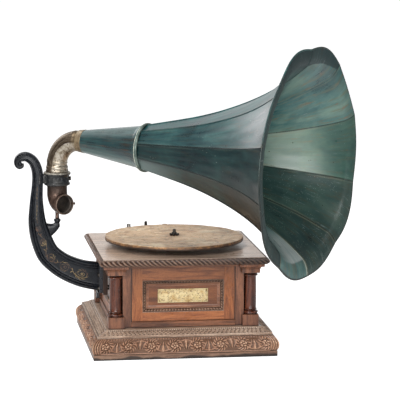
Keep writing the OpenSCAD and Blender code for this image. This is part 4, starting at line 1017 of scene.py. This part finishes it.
# corner columns: turned, with torus and scotia at the foot and an astragal under the capital
cp = smooth_curve([(14.8, 85), (15.5, 85.3), (15.7, 87.0), (15.3, 87.6)], 3)
foot = [(14.7 + 2.1 * math.cos(a), 89.7 + 2.2 * math.sin(a)) for a in np.linspace(-1.5, 1.5, 13)]
scot = [(13.8, 92.1), (12.9, 92.8), (12.5, 93.7), (12.8, 94.6), (13.9, 95.1), (14.5, 95.8), (13.9, 96.5), (12.9, 97.0)]
shaft = [(12.65, 98.0), (12.8, 110), (12.75, 125), (12.6, 140), (12.4, 155), (12.2, 164), (12.2, 166.8), (12.7, 168.0)]
astr = [(13.3 + 2.4 * math.cos(a), 170.4 + 2.1 * math.sin(a)) for a in np.linspace(-1.5, 1.5, 13)]
capn = [(13.1, 172.9), (12.6, 173.6), (12.8, 174.4), (13.7, 175.2), (14.8, 175.7), (15.2, 176.1)]
prof = [(0, 85)] + [tuple(p) for p in cp] + foot + scot + shaft + astr + capn + [(0, 176.1)]
parts = []
for i in range(4):
    v, f = lathe(prof, 96)
    v[:, 0] += 146.2
    v[:, 1] += 146.2
    parts.append((rotz(v, 90 * i), f))
v, f = join_parts(parts)
add_mesh("turned_columns", v, f, mat_column, "case", smooth=32, replaces=["corner_columns"], weld=0.01)

# capitals: square blocks with a cavetto, loaded between post and rope
zc = [(176.0, 164.0, 125.0), (176.5, 164.4, 124.6), (183.8, 164.4, 124.6), (184.3, 164.0, 125.0), (184.9, 164.6, 124.4), (185.6, 165.0, 124.0)]
cav = [(185.8 + 4.4 * t, 165.2 + 5.6 * (1 - math.sqrt(1 - t * t)), 123.8 - 2.4 * (1 - math.sqrt(1 - t * t))) for t in np.linspace(0, 1, 10)]
topc = [(190.4, 171.6, 120.8), (190.9, 172.6, 120.0), (191.2, 173.0, 119.6), (199.2, 173.0, 119.6), (199.7, 172.6, 120.0)]
parts = []
for i in range(4):
    rows = []
    for z, o, n_ in [*zc, *cav, *topc]:
        rows.append([(n_, n_, z), (o, n_, z), (o, o, z), (n_, o, z)])
    v = np.array(rows)
    k = len(v)
    f = grid(k, 4, False, True) + [(0, 1, 2, 3), tuple((k - 1) * 4 + j for j in (3, 2, 1, 0))]
    parts.append((rotz(v.reshape(-1, 3), 90 * i), f))
v, f = join_parts(parts)
ob = add_mesh("capitals", v, f, mat_post, "case", smooth=30, replaces=["column_capitals"])
b = ob.modifiers.new("bevel", "BEVEL")
b.width, b.segments, b.limit_method, b.angle_limit = 0.0007, 2, "ANGLE", math.radians(50)

# ------------------------------------------------------------------ bracket
AX = -258.0
ARM = [(-166, 146.5, 31.6), (-177, 147.1, 31), (-204.5, 152.7, 29.7), (-234, 164.3, 28.1), (-257.2, 178.4, 26.6), (-278.6, 198.8, 25.2),
       (-291.6, 227.4, 23.4), (-298.3, 249.8, 21.4), (-302, 271, 19), (-303, 292, 16.6), (-302.9, 319, 13.8), (-301, 347, 12.1),
       (-300.2, 371, 12), (-303.4, 389.4, 11.7), (-311.4, 404.4, 11.2), (-323.4, 412.4, 10.6)]
VX, VZ = -337.8, 397.3
for th, r, w in ((74, 15.6, 9.9), (104, 11.4, 8.7), (145, 8.4, 6.8), (195, 7.2, 5.6), (250, 6.9, 5.2), (310, 6.0, 4.4), (370, 4.0, 3.2)):
    ARM.append((VX + r * math.cos(math.radians(th)), VZ + r * math.sin(math.radians(th)), w))
arm = smooth_curve(ARM, 10)
arm, arm_s = resample(arm, step=2.0)
tan = np.gradient(arm[:, :2], axis=0)
tan /= np.linalg.norm(tan, axis=1)[:, None]
nor = np.stack([-tan[:, 1], tan[:, 0]], -1)
W = arm[:, 2]
keep = arm[:, 0] <= -167.0
arm, arm_s, tan, nor, W = arm[keep], arm_s[keep], tan[keep], nor[keep], W[keep]
arm_s = arm_s - arm_s[0]
# (distance in from the edge, height of the cheek) of half the section
HALF = np.array([(0.0, 0.0), (0.0, 2.5), (0.3, 5.5), (0.9, 8.2), (1.9, 10.4), (3.2, 12.0), (4.8, 12.8), (6.3, 12.5), (7.5, 11.5),
                 (8.3, 10.5), (9.0, 10.2), (9.7, 10.6), (10.5, 11.2), (11.5, 11.3), (12.4, 10.8), (13.2, 9.8), (14.0, 9.1), (15.2, 8.9)])


def arm_k(w):
    return np.minimum(1.0, w / 21.5)


def arm_thick(s):
    return 1.0 - 0.42 * ss(s, arm_s[-1] - 75, arm_s[-1] - 5)


def arm_ring(w, s):
    k = arm_k(w)
    t = arm_thick(s)
    a = [(w - d * k, y * t * (0.75 + 0.25 * k)) for d, y in HALF]
    mid = [(x, a[-1][1]) for x in np.linspace(a[-1][0], -a[-1][0], 7)[1:-1]]
    front = a + mid + [(-x, y) for x, y in a[::-1]]
    return front + [(x, -y) for x, y in front[::-1][1:-1]]


def floor_y(i):
    k = arm_k(W[i])
    return 8.9 * arm_thick(arm_s[i]) * (0.75 + 0.25 * k)


ring2 = np.array([arm_ring(w, s) for w, s in zip(W, arm_s)])
cen = np.stack([arm[:, 0], np.zeros(len(arm)), arm[:, 1]], -1)
sd = np.stack([nor[:, 0], np.zeros(len(arm)), nor[:, 1]], -1)
upv = np.tile([0.0, 1.0, 0.0], (len(arm), 1))
parts = [sweep(cen, sd, upv, ring2)]
# button in the scroll's eye, both cheeks
for sgn in (-1, 1):
    v, f = lathe([(0, 0), (4.1, 0), (4.1, 6.7), (3.6, 8.0), (2.4, 9.0), (1.1, 9.4), (0, 9.5)], 40)
    v = np.stack([v[:, 0] + VX, sgn * v[:, 2], v[:, 1] + VZ], -1)
    parts.append((v, f))
# spur that carries the pivot cup
SPUR = smooth_curve([(-292, 247, 21), (-283, 249.2, 19), (-274.6, 251.6, 14.6), (-267, 254.8, 10.8), (-261.2, 259.0, 8.2), (-258, 264, 6.8)], 8)
SPUR, _ = resample(SPUR, step=1.2)
t_ = np.gradient(SPUR[:, :2], axis=0)
t_ /= np.linalg.norm(t_, axis=1)[:, None]
an = np.linspace(0, 2 * np.pi, 28, endpoint=False)
rr = np.array([[(w * np.sign(np.cos(a)) * abs(np.cos(a)) ** 0.8, 5.6 * np.sign(np.sin(a)) * abs(np.sin(a)) ** 0.7) for a in an] for w in SPUR[:, 2]])
parts.append(sweep(np.stack([SPUR[:, 0], 0 * SPUR[:, 0], SPUR[:, 1]], -1), np.stack([-t_[:, 1], 0 * t_[:, 0], t_[:, 0]], -1),
                   np.tile([0.0, 1.0, 0.0], (len(SPUR), 1)), rr))
cup = [(0, 255.5), (4.6, 256), (5.6, 257.5), (5.7, 262), (5.2, 264), (5.0, 266.5), (5.6, 268.2), (6.9, 269.6), (7.3, 271), (7.3, 274.2),
       (6.9, 275), (4.7, 275), (4.35, 274.4), (4.35, 264), (0, 263.6)]
parts.append(lathe(cup, 64, AX, 0))
v, f = join_parts(parts)
arm_ob = add_mesh("cast_arm", v, f, mat_japan, "case", smooth=38, replaces=["bracket_arm"])

# collar with two beads, a fluted waist and the web that ties it to the arm
n = 192
pz = [(23.1, 350.2), (26.2, 350.0), (27.6, 350.8), (28.2, 352.2), (28.2, 354.2), (27.4, 355.8), (26.3, 356.8), (26.0, 358.2), (25.9, 361), (25.9, 364),
      (25.9, 367), (26.1, 369.4), (27.0, 371.4), (28.4, 372.8), (29.3, 374.0), (29.5, 375.6), (29.3, 377.4), (28.6, 378.4), (27.4, 378.7), (23.6, 378.7), (23.1, 378.2)]
pz = np.array(pz)
a = np.linspace(0, 2 * np.pi, n, endpoint=False)
flute = np.maximum(0, np.cos(16 * a))[:, None] ** 0.6 * np.array([np.sin(np.pi * np.clip((z - 358) / 11.5, 0, 1)) * (r > 25) for r, z in pz])[None] * 1.1
r_ = pz[None, :, 0] + flute
v = np.stack([AX + r_ * np.cos(a)[:, None], r_ * np.sin(a)[:, None], np.broadcast_to(pz[None, :, 1], r_.shape)], -1).reshape(-1, 3)
parts = [(v, grid(n, len(pz), True, True))]
web_x = np.linspace(-297, -279.5, 12)
rr = []
for x in web_x:
    t = (x + 297) / 17.5
    hz = 13.6 - 3.2 * math.sin(math.pi * t)
    hy = 11.5 - 3.5 * math.sin(math.pi * t)
    rr.append([(hz * np.sign(np.cos(q)) * abs(np.cos(q)) ** 0.55, hy * np.sign(np.sin(q)) * abs(np.sin(q)) ** 0.55) for q in np.linspace(0, 2 * np.pi, 32, endpoint=False)])
parts.append(sweep(np.stack([web_x, 0 * web_x, 0 * web_x + 364], -1), np.tile([0.0, 0, 1], (12, 1)), np.tile([0.0, 1, 0], (12, 1)), np.array(rr)))
v, f = join_parts(parts)
npz = len(pz)
add_mesh("collar", v, f, [mat_collar, mat_flange_rim], "case", smooth=45,
         slots=[1 if j in range(15, 19) else 0 for _ in range(192) for j in range(npz)] + [0] * (len(f) - 192 * npz))


# gilt vine painted in the arm's channel, on both cheeks
def on_arm(s, nfrac, lift, sgn):
    """s along the arm in mm, nfrac from -1 to 1 across the channel."""
    s = np.clip(s, 0, arm_s[-1])
    g = lambda q: np.interp(s, arm_s, q)
    w = g(W)
    k = arm_k(w)
    c = w - 14.2 * k
    nn = nfrac * c
    y = 8.9 * (1.0 - 0.42 * ss(s, arm_s[-1] - 75, arm_s[-1] - 5)) * (0.75 + 0.25 * k) + lift
    return np.stack([g(arm[:, 0]) + nn * g(nor[:, 0]), sgn * y, g(arm[:, 1]) + nn * g(nor[:, 1])], -1)


def ribbon(s, q, wd, sgn):
    """A painted stroke: s and q run along it, wd is its half width in mm."""
    s, q, wd = (np.asarray(z, float) for z in (s, q, wd))
    chan = np.interp(s, arm_s, W - 14.2 * arm_k(W))
    ds, dq = np.gradient(s), np.gradient(q * chan)
    ln = np.hypot(ds, dq) + 1e-9
    ns, nq = -dq / ln, ds / ln
    lo = (s - ns * wd, q - nq * wd / chan)
    hi = (s + ns * wd, q + nq * wd / chan)
    rows = [on_arm(*hi, 0.16, sgn), on_arm(*lo, 0.16, sgn), on_arm(*lo, -0.25, sgn), on_arm(*hi, -0.25, sgn)]
    v = np.stack(rows, 1).reshape(-1, 3)
    k = len(s)
    return v, grid(k, 4, False, True) + [(0, 1, 2, 3), tuple((k - 1) * 4 + j for j in (3, 2, 1, 0))]


strokes = []
CL = []
for px, pz_ in ((-205, 153), (-243, 170), (-271, 192), (-290, 224), (-298, 256)):
    CL.append(float(arm_s[np.argmin((arm[:, 0] - px) ** 2 + (arm[:, 1] - pz_) ** 2)]))
for sgn in (-1, 1):
    for j, sc in enumerate(CL):
        way = 1 if j % 2 == 0 else -1
        chan = float(np.interp(sc, arm_s, W - 14.2 * arm_k(W)))
        R = chan * 0.70
        # a scroll that winds in on a small flower
        t = np.linspace(0, 1, 60)
        th = way * (0.2 + t * 3.3 * np.pi)
        rad = R * (1 - 0.68 * t) * (1 + 0.10 * np.cos(2 * th + j))
        strokes.append(ribbon(sc + 1.25 * rad * np.cos(th), rad * np.sin(th) / chan, 0.34 + 0.16 * np.sin(t * 9), sgn))
        for n_ in range(5):
            b0 = 2 * math.pi * n_ / 5 + 0.4 * j
            t = np.linspace(0, 1, 7)
            strokes.append(ribbon(sc + R * (0.05 + 0.24 * t) * math.cos(b0), R * (0.05 + 0.24 * t) * math.sin(b0) / chan, 0.10 + 0.07 * R * np.sin(np.pi * t ** 0.8), sgn))
        # leaves along its outside, curling with it
        for n_ in range(9):
            a0 = way * (0.35 + n_ * 0.66)
            r0 = R * (1 - 0.68 * (abs(a0) - 0.2) / (3.3 * math.pi))
            t = np.linspace(0, 1, 9)
            ang_ = a0 + way * 0.75 * t
            ps = sc + 1.25 * (r0 + (0.26 + 0.14 * math.sin(2.3 * n_ + j)) * R * t) * np.cos(ang_)
            pq = np.clip((r0 + 0.34 * R * t) * np.sin(ang_) / chan, -0.96, 0.96)
            strokes.append(ribbon(ps, pq, 0.08 + 0.042 * R * np.sin(np.pi * t ** 0.7), sgn))
        # the stem that runs on to the next scroll, with a pair of leaflets
        if j + 1 < len(CL):
            t = np.linspace(0, 1, 26)
            s0_, s1_ = sc + R * 0.6, CL[j + 1] - R * 0.55
            q_ = 0.55 * way * np.cos(np.pi * t)
            strokes.append(ribbon(s0_ + (s1_ - s0_) * t, q_, 0.42 + 0.1 * np.sin(6 * t), sgn))
            for dq in (-1, 1):
                t = np.linspace(0, 1, 9)
                strokes.append(ribbon((s0_ + s1_) / 2 + 4.2 * t, dq * (0.05 + 0.36 * t), 0.12 + 0.75 * np.sin(np.pi * t ** 0.8), sgn))
    # a fine line up the middle of the channel, towards the collar
    s_ = np.linspace(CL[-1] + 12, CL[-1] + 92, 90)
    strokes.append(ribbon(s_, 0.12 * np.sin((s_ - s_[0]) / 9.0), 0.30 + 0.16 * np.sin(s_ * 0.7), sgn))
v, f = join_parts(strokes)
add_mesh("gilt_vine", v, f, mat_gilt, "case", smooth=30)


# ------------------------------------------------------------------ pipes
def pipe(stations, n=96):
    """stations of (centre, tangent, outer radius, inner radius): one closed tube with an open bore."""
    c = np.array([s[0] for s in stations], float)
    t = np.array([s[1] for s in stations], float)
    ref = np.array([0.0, 1.0, 0.0])
    rows = []
    a = np.linspace(0, 2 * np.pi, n, endpoint=False)
    for ci, ti, ro, ri in stations:
        ti = np.array(ti, float) / np.linalg.norm(ti)
        e1 = ref - ti * ref.dot(ti)
        e1 /= np.linalg.norm(e1)
        e2 = np.cross(ti, e1)
        rows.append((np.array(ci, float), e1, e2))
    outer = [ci + s[2] * (np.cos(a)[:, None] * e1 + np.sin(a)[:, None] * e2) for (ci, e1, e2), s in zip(rows, stations)]
    inner = [ci + s[3] * (np.cos(a)[:, None] * e1 + np.sin(a)[:, None] * e2) for (ci, e1, e2), s in zip(rows, stations)]
    v = np.array(outer + inner[::-1])
    k = len(v)
    return v.reshape(-1, 3), grid(k, n, True, True)


# the horn's swivel elbow, in its own plane (x to the horn, z up), then turned towards the horn
st = []
for z, r in ((353, 22.6), (353.6, 22.95), (378.75, 22.95), (378.8, 24.2), (379.3, 24.45), (384.2, 24.45), (384.9, 24.1), (385.3, 23.3), (386.2, 23.2),
             (387.0, 23.7), (388.4, 23.9), (390.4, 23.9), (391.4, 23.6), (392.0, 22.9), (393.0, 22.6), (394.0, 22.3)):
    st.append(((0, 0, z), (0, 0, 1), r, 20.6))
for i in range(1, 41):
    a = math.pi / 2 * i / 40
    r = 22.0 + (0.9 * math.exp(-((i - 3.5) / 1.1) ** 2)) + (0.7 * math.exp(-((i - 37) / 1.0) ** 2))
    st.append(((56 - 56 * math.cos(a), 0, 394 + 56 * math.sin(a)), (math.sin(a), 0, math.cos(a)), r, 20.6))
for x, r in ((58, 22.0), (64, 22.0), (70.6, 21.95), (71, 21.6)):
    st.append(((x, 0, 450), (1, 0, 0), r, 20.6))
v, f = pipe(st)
v = rotz(v, -36) + [AX, 0, 0]
add_mesh("swivel_elbow", v, f, mat_nickel, "horn", smooth=40, replaces=["horn_elbow"])

# the tone arm's elbow: neck in the collar, tight bend, outlet with a rolled lip
st = []
for z, ro, ri in ((371, 20.2, 18.9), (370.5, 20.45, 18.6), (350.2, 20.45, 18.6), (349.9, 21.6, 18.6), (349.4, 22.1, 18.6), (346.5, 22.1, 18.6), (345.9, 21.7, 18.6),
                  (345.2, 21.6, 18.6), (340, 21.7, 18.6), (333.5, 21.8, 18.6)):
    st.append(((0, 0, z), (0, 0, -1), ro, ri))
for i in range(1, 33):
    a = math.pi / 2 * i / 32
    st.append(((23 - 23 * math.cos(a), 0, 333.5 - 23 * math.sin(a)), (math.sin(a), 0, -math.cos(a)), 21.9, 18.6))
for x, ro, ri in ((23.8, 21.8, 18.6), (24.2, 21.8, 20.0), (25.4, 21.7, 20.0), (26.9, 21.7, 20.0), (27.4, 22.2, 20.0), (28.0, 22.6, 20.0), (29.4, 22.7, 20.0), (30.9, 22.6, 20.0),
                  (31.5, 22.3, 20.0), (32.5, 22.3, 20.0), (33.0, 22.0, 20.1), (33.2, 21.5, 20.3)):
    st.append(((x, 0, 310.5), (1, 0, 0), ro, ri))
parts = [pipe(st)]
nst = len(st)
slots = [0 if i < nst - 3 else 2 if i < nst + 1 else 1 for i in range(2 * nst) for _ in range(96)]
# pivot pin with a shoulder; its top is coped to the bend
pin = [(0, 264.7), (3.3, 264.7), (4.0, 265.5), (4.0, 276.6), (4.5, 277.2), (4.6, 279.2), (4.1, 280.0), (4.1, 286), (4.4, 289), (5.6, 292), (6.2, 295.0), (0, 295.0)]
v, f = lathe(pin, 48)
v[:, 2] += ss(v[:, 2], 286, 295) * (333.5 - np.sqrt(np.maximum(43.3 ** 2 - (23 - v[:, 0]) ** 2, 0)) - 295.0)
parts.append((v, f))
# set screw beside the outlet: lug, shank and slotted head
lug = [(0, 19.8), (3.4, 19.8), (3.2, 22.4), (2.2, 23.2), (2.2, 25.0), (2.8, 25.4), (3.0, 26.2), (2.8, 27.0), (2.2, 27.3), (0, 27.3)]
v, f = lathe(lug, 32)
v = np.stack([v[:, 0] + 29, v[:, 2], v[:, 1] + 310.5], -1)
parts.append((v, f))
v, f = join_parts(parts)
v = rotz(v, -64) + [AX, 0, 0]
add_mesh("tonearm_outlet", v, f, [mat_copper, mat_bore, mat_lip], "tonearm", smooth=40, slots=slots + [0] * (len(f) - len(slots)), replaces=["tonearm_elbow"])

# ------------------------------------------------------------------ horn
H = Matrix.Translation((AX / 1000, 0, 0.450)) @ Matrix.Rotation(math.radians(-36), 4, "Z") @ Matrix.Translation((0.0589, 0, 0)) @ Matrix.Rotation(math.radians(91.4), 4, "Y")
NECK_R, NECK_S, MOUTH_R, LEN, NP = 46.5, 157.0, 233.0, 545.0, 10
HALFA = math.pi / NP
FLARE = [(157.1, 46.9), (245, 66.3), (290, 77.2), (330, 89), (365, 101.4), (395, 113.4), (422, 125.6), (448, 139), (472, 153.4),
         (494, 168.6), (514, 184), (528, 195.8), (536.5, 204.2), (541, 213), (543.6, 222.5), (545, 233)]
BOW = [12.8, 26, 11.7, 3, 17.6, 21, 10, 11.4, 20, 15.6]
fl_ = smooth_curve(FLARE, 6)                        # distance along the horn, corner radius of the outer face
nk, nm = len(fl_), 27
FS, FR = fl_[:, 0], fl_[:, 1]
run = np.concatenate([[0], np.cumsum(np.hypot(np.diff(FS), np.diff(FR)))])
SWELL = (run / run[-1]) ** 3.5
lean = np.arctan2(np.gradient(FR), np.gradient(FS))
lean[0] = 0.0


def across(r, u, w):
    """Radius across a petal: a flat facet, bowed out by w in the middle."""
    return r * math.cos(HALFA) / np.cos(u) + w * np.cos(np.pi / 2 * u / HALFA)


parts, slots = [], []
for i in range(NP):
    base = math.radians(2) + HALFA + i * 2 * HALFA
    rows_o, rows_i = [], []
    for k in range(nk):
        r, t = FR[k], run[k] / run[-1]
        g = 0.14 / r
        u = np.linspace(-HALFA + g, HALFA - g, nm)
        # hand-raised sheet: a slow wave of under half a millimetre
        wave = 0.35 * t * np.sin(u * 31 + i * 2.1) * np.sin(t * 17 + i * 1.3) * np.cos(np.pi / 2 * u / HALFA)
        q = across(r, u, BOW[i] * SWELL[k])
        for rows, o in ((rows_o, 0.0), (rows_i, -1.0)):
            qq = q + (o + wave) * math.cos(lean[k])
            rows.append(np.stack([qq * np.cos(u + base), qq * np.sin(u + base), np.full(nm, FS[k] - (o + wave) * math.sin(lean[k]))], -1))
    o, inn = np.array(rows_o), np.array(rows_i)
    ring_v = np.concatenate([o, inn[:, ::-1]], 1)          # (nk, 2*nm, 3)
    k2 = 2 * nm
    v = ring_v.reshape(-1, 3)
    f = grid(nk, k2, False, True)
    sl = []
    for a in range(nk - 1):
        for b in range(k2):
            sl.append(1 if nm <= b < k2 - 1 else 0)
    for e in (0, nk - 1):
        for b in range(nm - 1):
            q4 = (e * k2 + b, e * k2 + b + 1, e * k2 + k2 - 2 - b, e * k2 + k2 - 1 - b)
            f.append(q4 if e == 0 else q4[::-1])
            sl.append(0)
    parts.append((v, f))
    slots += sl
v, f = join_parts(parts)
add_mesh("petals", v, f, [mat_horn_out, mat_horn_in], "horn", smooth=28, matrix=H, slots=slots, replaces=["horn_petals"])

# folded seams: a flat doubled fold outside each joint, a fine ridge inside
parts_o, parts_i = [], []
for i in range(NP):
    ang = math.radians(2) + i * 2 * HALFA
    er_, et = np.array([math.cos(ang), math.sin(ang), 0]), np.array([-math.sin(ang), math.cos(ang), 0])
    nrm = er_[None] * np.cos(lean)[:, None] + np.array([0, 0, 1.0])[None] * (-np.sin(lean))[:, None]
    cen = er_[None] * FR[:, None] + np.array([0, 0, 1.0])[None] * FS[:, None]
    side = np.tile(et, (nk, 1))
    sec_o = np.array([(2.3, -1.0), (2.45, 0.1), (2.2, 0.9), (1.5, 1.25), (0.2, 1.3), (-0.4, 1.0), (-0.6, 0.2), (-0.6, -1.0)])
    parts_o.append(sweep(cen, side, nrm, np.tile(sec_o, (nk, 1, 1))))
    sec_i = np.array([(1.5, -0.7), (1.55, -1.2), (1.1, -1.55), (0.1, -1.6), (-0.25, -1.2), (-0.3, -0.7)])
    parts_i.append(sweep(cen, side, nrm, np.tile(sec_i, (nk, 1, 1))))
v, f = join_parts(parts_o)
add_mesh("outer_seams", v, f, mat_horn_out, "horn", smooth=30, matrix=H)
v, f = join_parts(parts_i)
add_mesh("inner_seams", v, f, mat_horn_in, "horn", smooth=30, matrix=H)

# wired edge, rolled round the lobed mouth
nn_ = 600
th = np.arange(nn_) / nn_ * 2 * np.pi + math.radians(2)
pi_ = np.floor((th - math.radians(2)) / (2 * HALFA) + 1e-9).astype(int) % NP
uu = np.mod(th - math.radians(2) + 1e-12, 2 * HALFA) - HALFA
q = across(MOUTH_R, uu, np.array(BOW)[pi_]) + 1.5
cpt = np.stack([q * np.cos(th), q * np.sin(th), np.full(nn_, 544.8)], -1)
d = np.roll(cpt, -1, 0) - np.roll(cpt, 1, 0)
d /= np.linalg.norm(d, axis=1)[:, None]
sidev = np.cross(d, [0, 0, 1.0])
an = np.linspace(0, 2 * np.pi, 14, endpoint=False)
v = cpt[:, None] + 1.75 * (np.cos(an)[None, :, None] * sidev[:, None] + np.sin(an)[None, :, None] * np.array([0, 0, 1.0]))
add_mesh("wired_rim", v.reshape(-1, 3), grid(nn_, 14, True, True), mat_horn_out, "horn", smooth=50, matrix=H, replaces=["horn_rim_wire"])

# throat cone with its lapped seam, and the ring that covers the joint
a = np.linspace(0, 2 * np.pi, 161)[:-1]
ks = np.linspace(0, 1, 60)
rows = []
for k in ks:
    s_ = 157.0 * k
    ro = 23.1 + (46.5 - 23.1) * k
    lap = 0.55 * (ss(a, 0.0, 0.05) - ss(a, 0.2, 0.22))
    rows.append(np.stack([(ro + lap) * np.cos(a), (ro + lap) * np.sin(a), np.full(160, s_)], -1))
for k in ks[::-1]:
    s_ = 157.0 * k
    ri = 22.1 + (45.5 - 22.1) * k
    rows.append(np.stack([ri * np.cos(a), ri * np.sin(a), np.full(160, s_)], -1))
v = np.array(rows)
add_mesh("throat_cone", v.reshape(-1, 3), grid(120, 160, True, True), mat_throat, "horn", smooth=40, matrix=H, replaces=["horn_cone"])
prof = [(46.3, 150.6), (46.75, 150.9), (50.9, 160.8), (50.9, 161.8), (49.2, 161.8), (46.3, 155.2)]
v, f = lathe(prof, 160, closed=True)
add_mesh("cone_sleeve", v, f, mat_throat, "horn", smooth=30, matrix=H)
prof = [(49.0, 161.0), (51.1, 160.8), (51.7, 161.4), (52.3, 162.6), (52.6, 164.2), (52.4, 165.8), (51.9, 167.0), (51.1, 167.6), (49.4, 167.8)]
v, f = lathe(prof, 160, closed=True)
add_mesh("joint_ring", v, f, mat_ring, "horn", smooth=50, matrix=H, replaces=["horn_ring"])
lp = [(51.5 + 0.8 * math.cos(b), 161.4 + 0.8 * math.sin(b)) for b in np.linspace(0, 2 * np.pi, 12, endpoint=False)]
v, f = lathe(lp, 160, closed=True)
add_mesh("ring_line", v, f, mat_line, "horn", smooth=60, matrix=H)

# nickel ferrule where the cone is pushed into the elbow
prof = [(22.9, -1.2), (23.75, -1.2), (23.95, -0.7), (25.3, 10.9), (25.6, 11.4), (25.7, 12.3), (25.4, 12.8), (24.9, 12.8), (24.6, 11.5), (23.2, 1.0)]
v, f = lathe(prof, 128, closed=True)
add_mesh("ferrule", v, f, mat_ferrule, "horn", smooth=40, matrix=H)

# ------------------------------------------------------------------ turntable
na, nr = 360, 34
a = np.linspace(0, 2 * np.pi, na, endpoint=False)
wob = 0.35 * np.sin(3 * a + 0.4) + 0.3 * np.sin(11 * a + 1.0) + 0.28 * np.sin(29 * a) + 0.22 * np.sin(53 * a + 2.0) + 0.18 * np.sin(97 * a + 0.7)
ch = np.exp(-((np.mod(a - 2.3, 2 * np.pi) - np.pi) / 0.02) ** 2) + np.exp(-((np.mod(a - 4.9, 2 * np.pi) - np.pi) / 0.03) ** 2) + np.exp(-((np.mod(a - 0.7, 2 * np.pi) - np.pi) / 0.025) ** 2)
ro = 151.6 + wob * 0.7 - ch * 2.6
fr = np.linspace(0, 1, nr) ** 0.8
rows = []
for f_ in fr:
    r = 4.5 + (ro - 4.5) * f_
    zz = 233.0 + (0.10 * np.sin(r * 0.09 + 2 * a) + 0.08 * np.sin(r * 0.23 - 3 * a + 1)) * ss(r, 14, 30) - 0.12 + 0.35 * ss(f_, 0.95, 1.0) * (0.3 + np.abs(np.sin(7 * a + 0.5)) ** 3)
    rows.append(np.stack([r * np.cos(a), r * np.sin(a), zz], -1))
for f_ in (1.0, 0.6, 0.2, 0.0):
    r = 4.5 + (ro - 4.5) * f_
    rows.append(np.stack([r * np.cos(a), r * np.sin(a), np.full(na, 232.02)], -1))
v = np.array(rows)
cover = add_mesh("worn_cover", v.reshape(-1, 3), grid(len(rows), na, True, True), mat_cover, "turntable", smooth=40, replaces=["turntable_cover"])
dress("star_nut", mat_star, 0.0005)
dress("crank_grip", mat_grip, 0)

# ------------------------------------------------------------------ studio
floor_mat = Mat("studio_floor", Roughness=0.8)
floor_mat.set("Base Color", floor_mat.mix(floor_mat.noise(3), (0.42, 0.42, 0.42), (0.45, 0.45, 0.45)))
floor_mat.b.inputs["Specular IOR Level"].default_value = 0.0
floor_mat.b.inputs["Emission Color"].default_value = (1, 1, 1, 1)
# overexposed where it is seen, a mid grey where the object sees it
seen = floor_mat.t.nodes.new("ShaderNodeLightPath").outputs["Is Camera Ray"]
fx, fy, fz = floor_mat.xyz()
far = floor_mat.f("SUBTRACT", 1.0, floor_mat.step(floor_mat.v("LENGTH", floor_mat.P), 0.7, 2.3))
floor_mat.put(floor_mat.b.inputs["Emission Strength"], floor_mat.fmix(seen, floor_mat.mul(floor_mat.range(fy, -0.5, 1.5, 0.42, 0.60), far), 0.97))
me = bpy.data.meshes.new("floor")
k = 64
me.from_pydata([(30 * math.cos(2 * math.pi * i / k), 30 * math.sin(2 * math.pi * i / k), -0.0002) for i in range(k)], [], [tuple(range(k))])
me.materials.append(floor_mat.m)
fl = bpy.data.objects.new("floor", me)
bpy.context.scene.collection.objects.link(fl)

# a dim room with a broad pale backdrop behind
world = bpy.data.worlds.new("studio")
bpy.context.scene.world = world
world.use_nodes = True
wt = world.node_tree
tc = wt.nodes.new("ShaderNodeTexCoord")
sx = wt.nodes.new("ShaderNodeSeparateXYZ")
wt.links.new(tc.outputs["Generated"], sx.inputs[0])


def wrange(sock, a, b, c, d):
    n = wt.nodes.new("ShaderNodeMapRange")
    n.interpolation_type = "SMOOTHSTEP"
    for k_, q_ in zip(("From Min", "From Max", "To Min", "To Max"), (a, b, c, d)):
        n.inputs[k_].default_value = q_
    wt.links.new(sock, n.inputs["Value"])
    return n.outputs[0]


def wmath(op, a, b):
    n = wt.nodes.new("ShaderNodeMath")
    n.operation = op
    for s_, v_ in zip(n.inputs, (a, b)):
        if isinstance(v_, bpy.types.NodeSocket):
            wt.links.new(v_, s_)
        else:
            s_.default_value = v_
    return n.outputs[0]


behind = wrange(sx.outputs["Y"], 0.25, 0.8, 0.0, 1.0)
behind = wmath("MULTIPLY", behind, wrange(sx.outputs["X"], 0.35, 0.8, 1.0, 0.12))
lowish = wmath("MULTIPLY", wrange(sx.outputs["Z"], 0.0, 0.08, 0.0, 1.0), wrange(sx.outputs["Z"], 0.42, 0.66, 1.0, 0.0))
wt.links.new(wmath("ADD", wmath("MULTIPLY", wmath("MULTIPLY", behind, lowish), 0.9), 0.12), wt.nodes["Background"].inputs[1])
wt.nodes["Background"].inputs[0].default_value = (1, 1, 1, 1)


def area(name, loc, target, size, power, size_y=None):
    L = bpy.data.lights.new(name, "AREA")
    L.energy, L.size = power, size
    if size_y:
        L.shape, L.size_y = "RECTANGLE", size_y
    o = bpy.data.objects.new(name, L)
    o.location = loc
    o.rotation_euler = (Vector(target) - Vector(loc)).to_track_quat("-Z", "Y").to_euler()
    bpy.context.scene.collection.objects.link(o)
    return o


area("key", (-1.9, -2.5, 1.9), (0, 0, 0.25), 1.2, 70)
area("front", (-0.1, -3.3, 0.55), (0.1, 0, 0.3), 2.3, 46, 0.9)
area("fill", (2.7, -1.2, 1.2), (0, 0, 0.25), 0.9, 15, 1.5)
area("top", (-0.9, -0.2, 2.7), (0, 0, 0.2), 1.4, 34)
area("back", (-1.7, 2.3, 1.75), (0, 0, 0.35), 1.5, 17)

sc = bpy.context.scene
sc.view_settings.view_transform = "Standard"
sc.view_settings.look = "None"
sc.view_settings.exposure = 0.0
sc.view_settings.gamma = 1.0

bpy.context.view_layer.update()
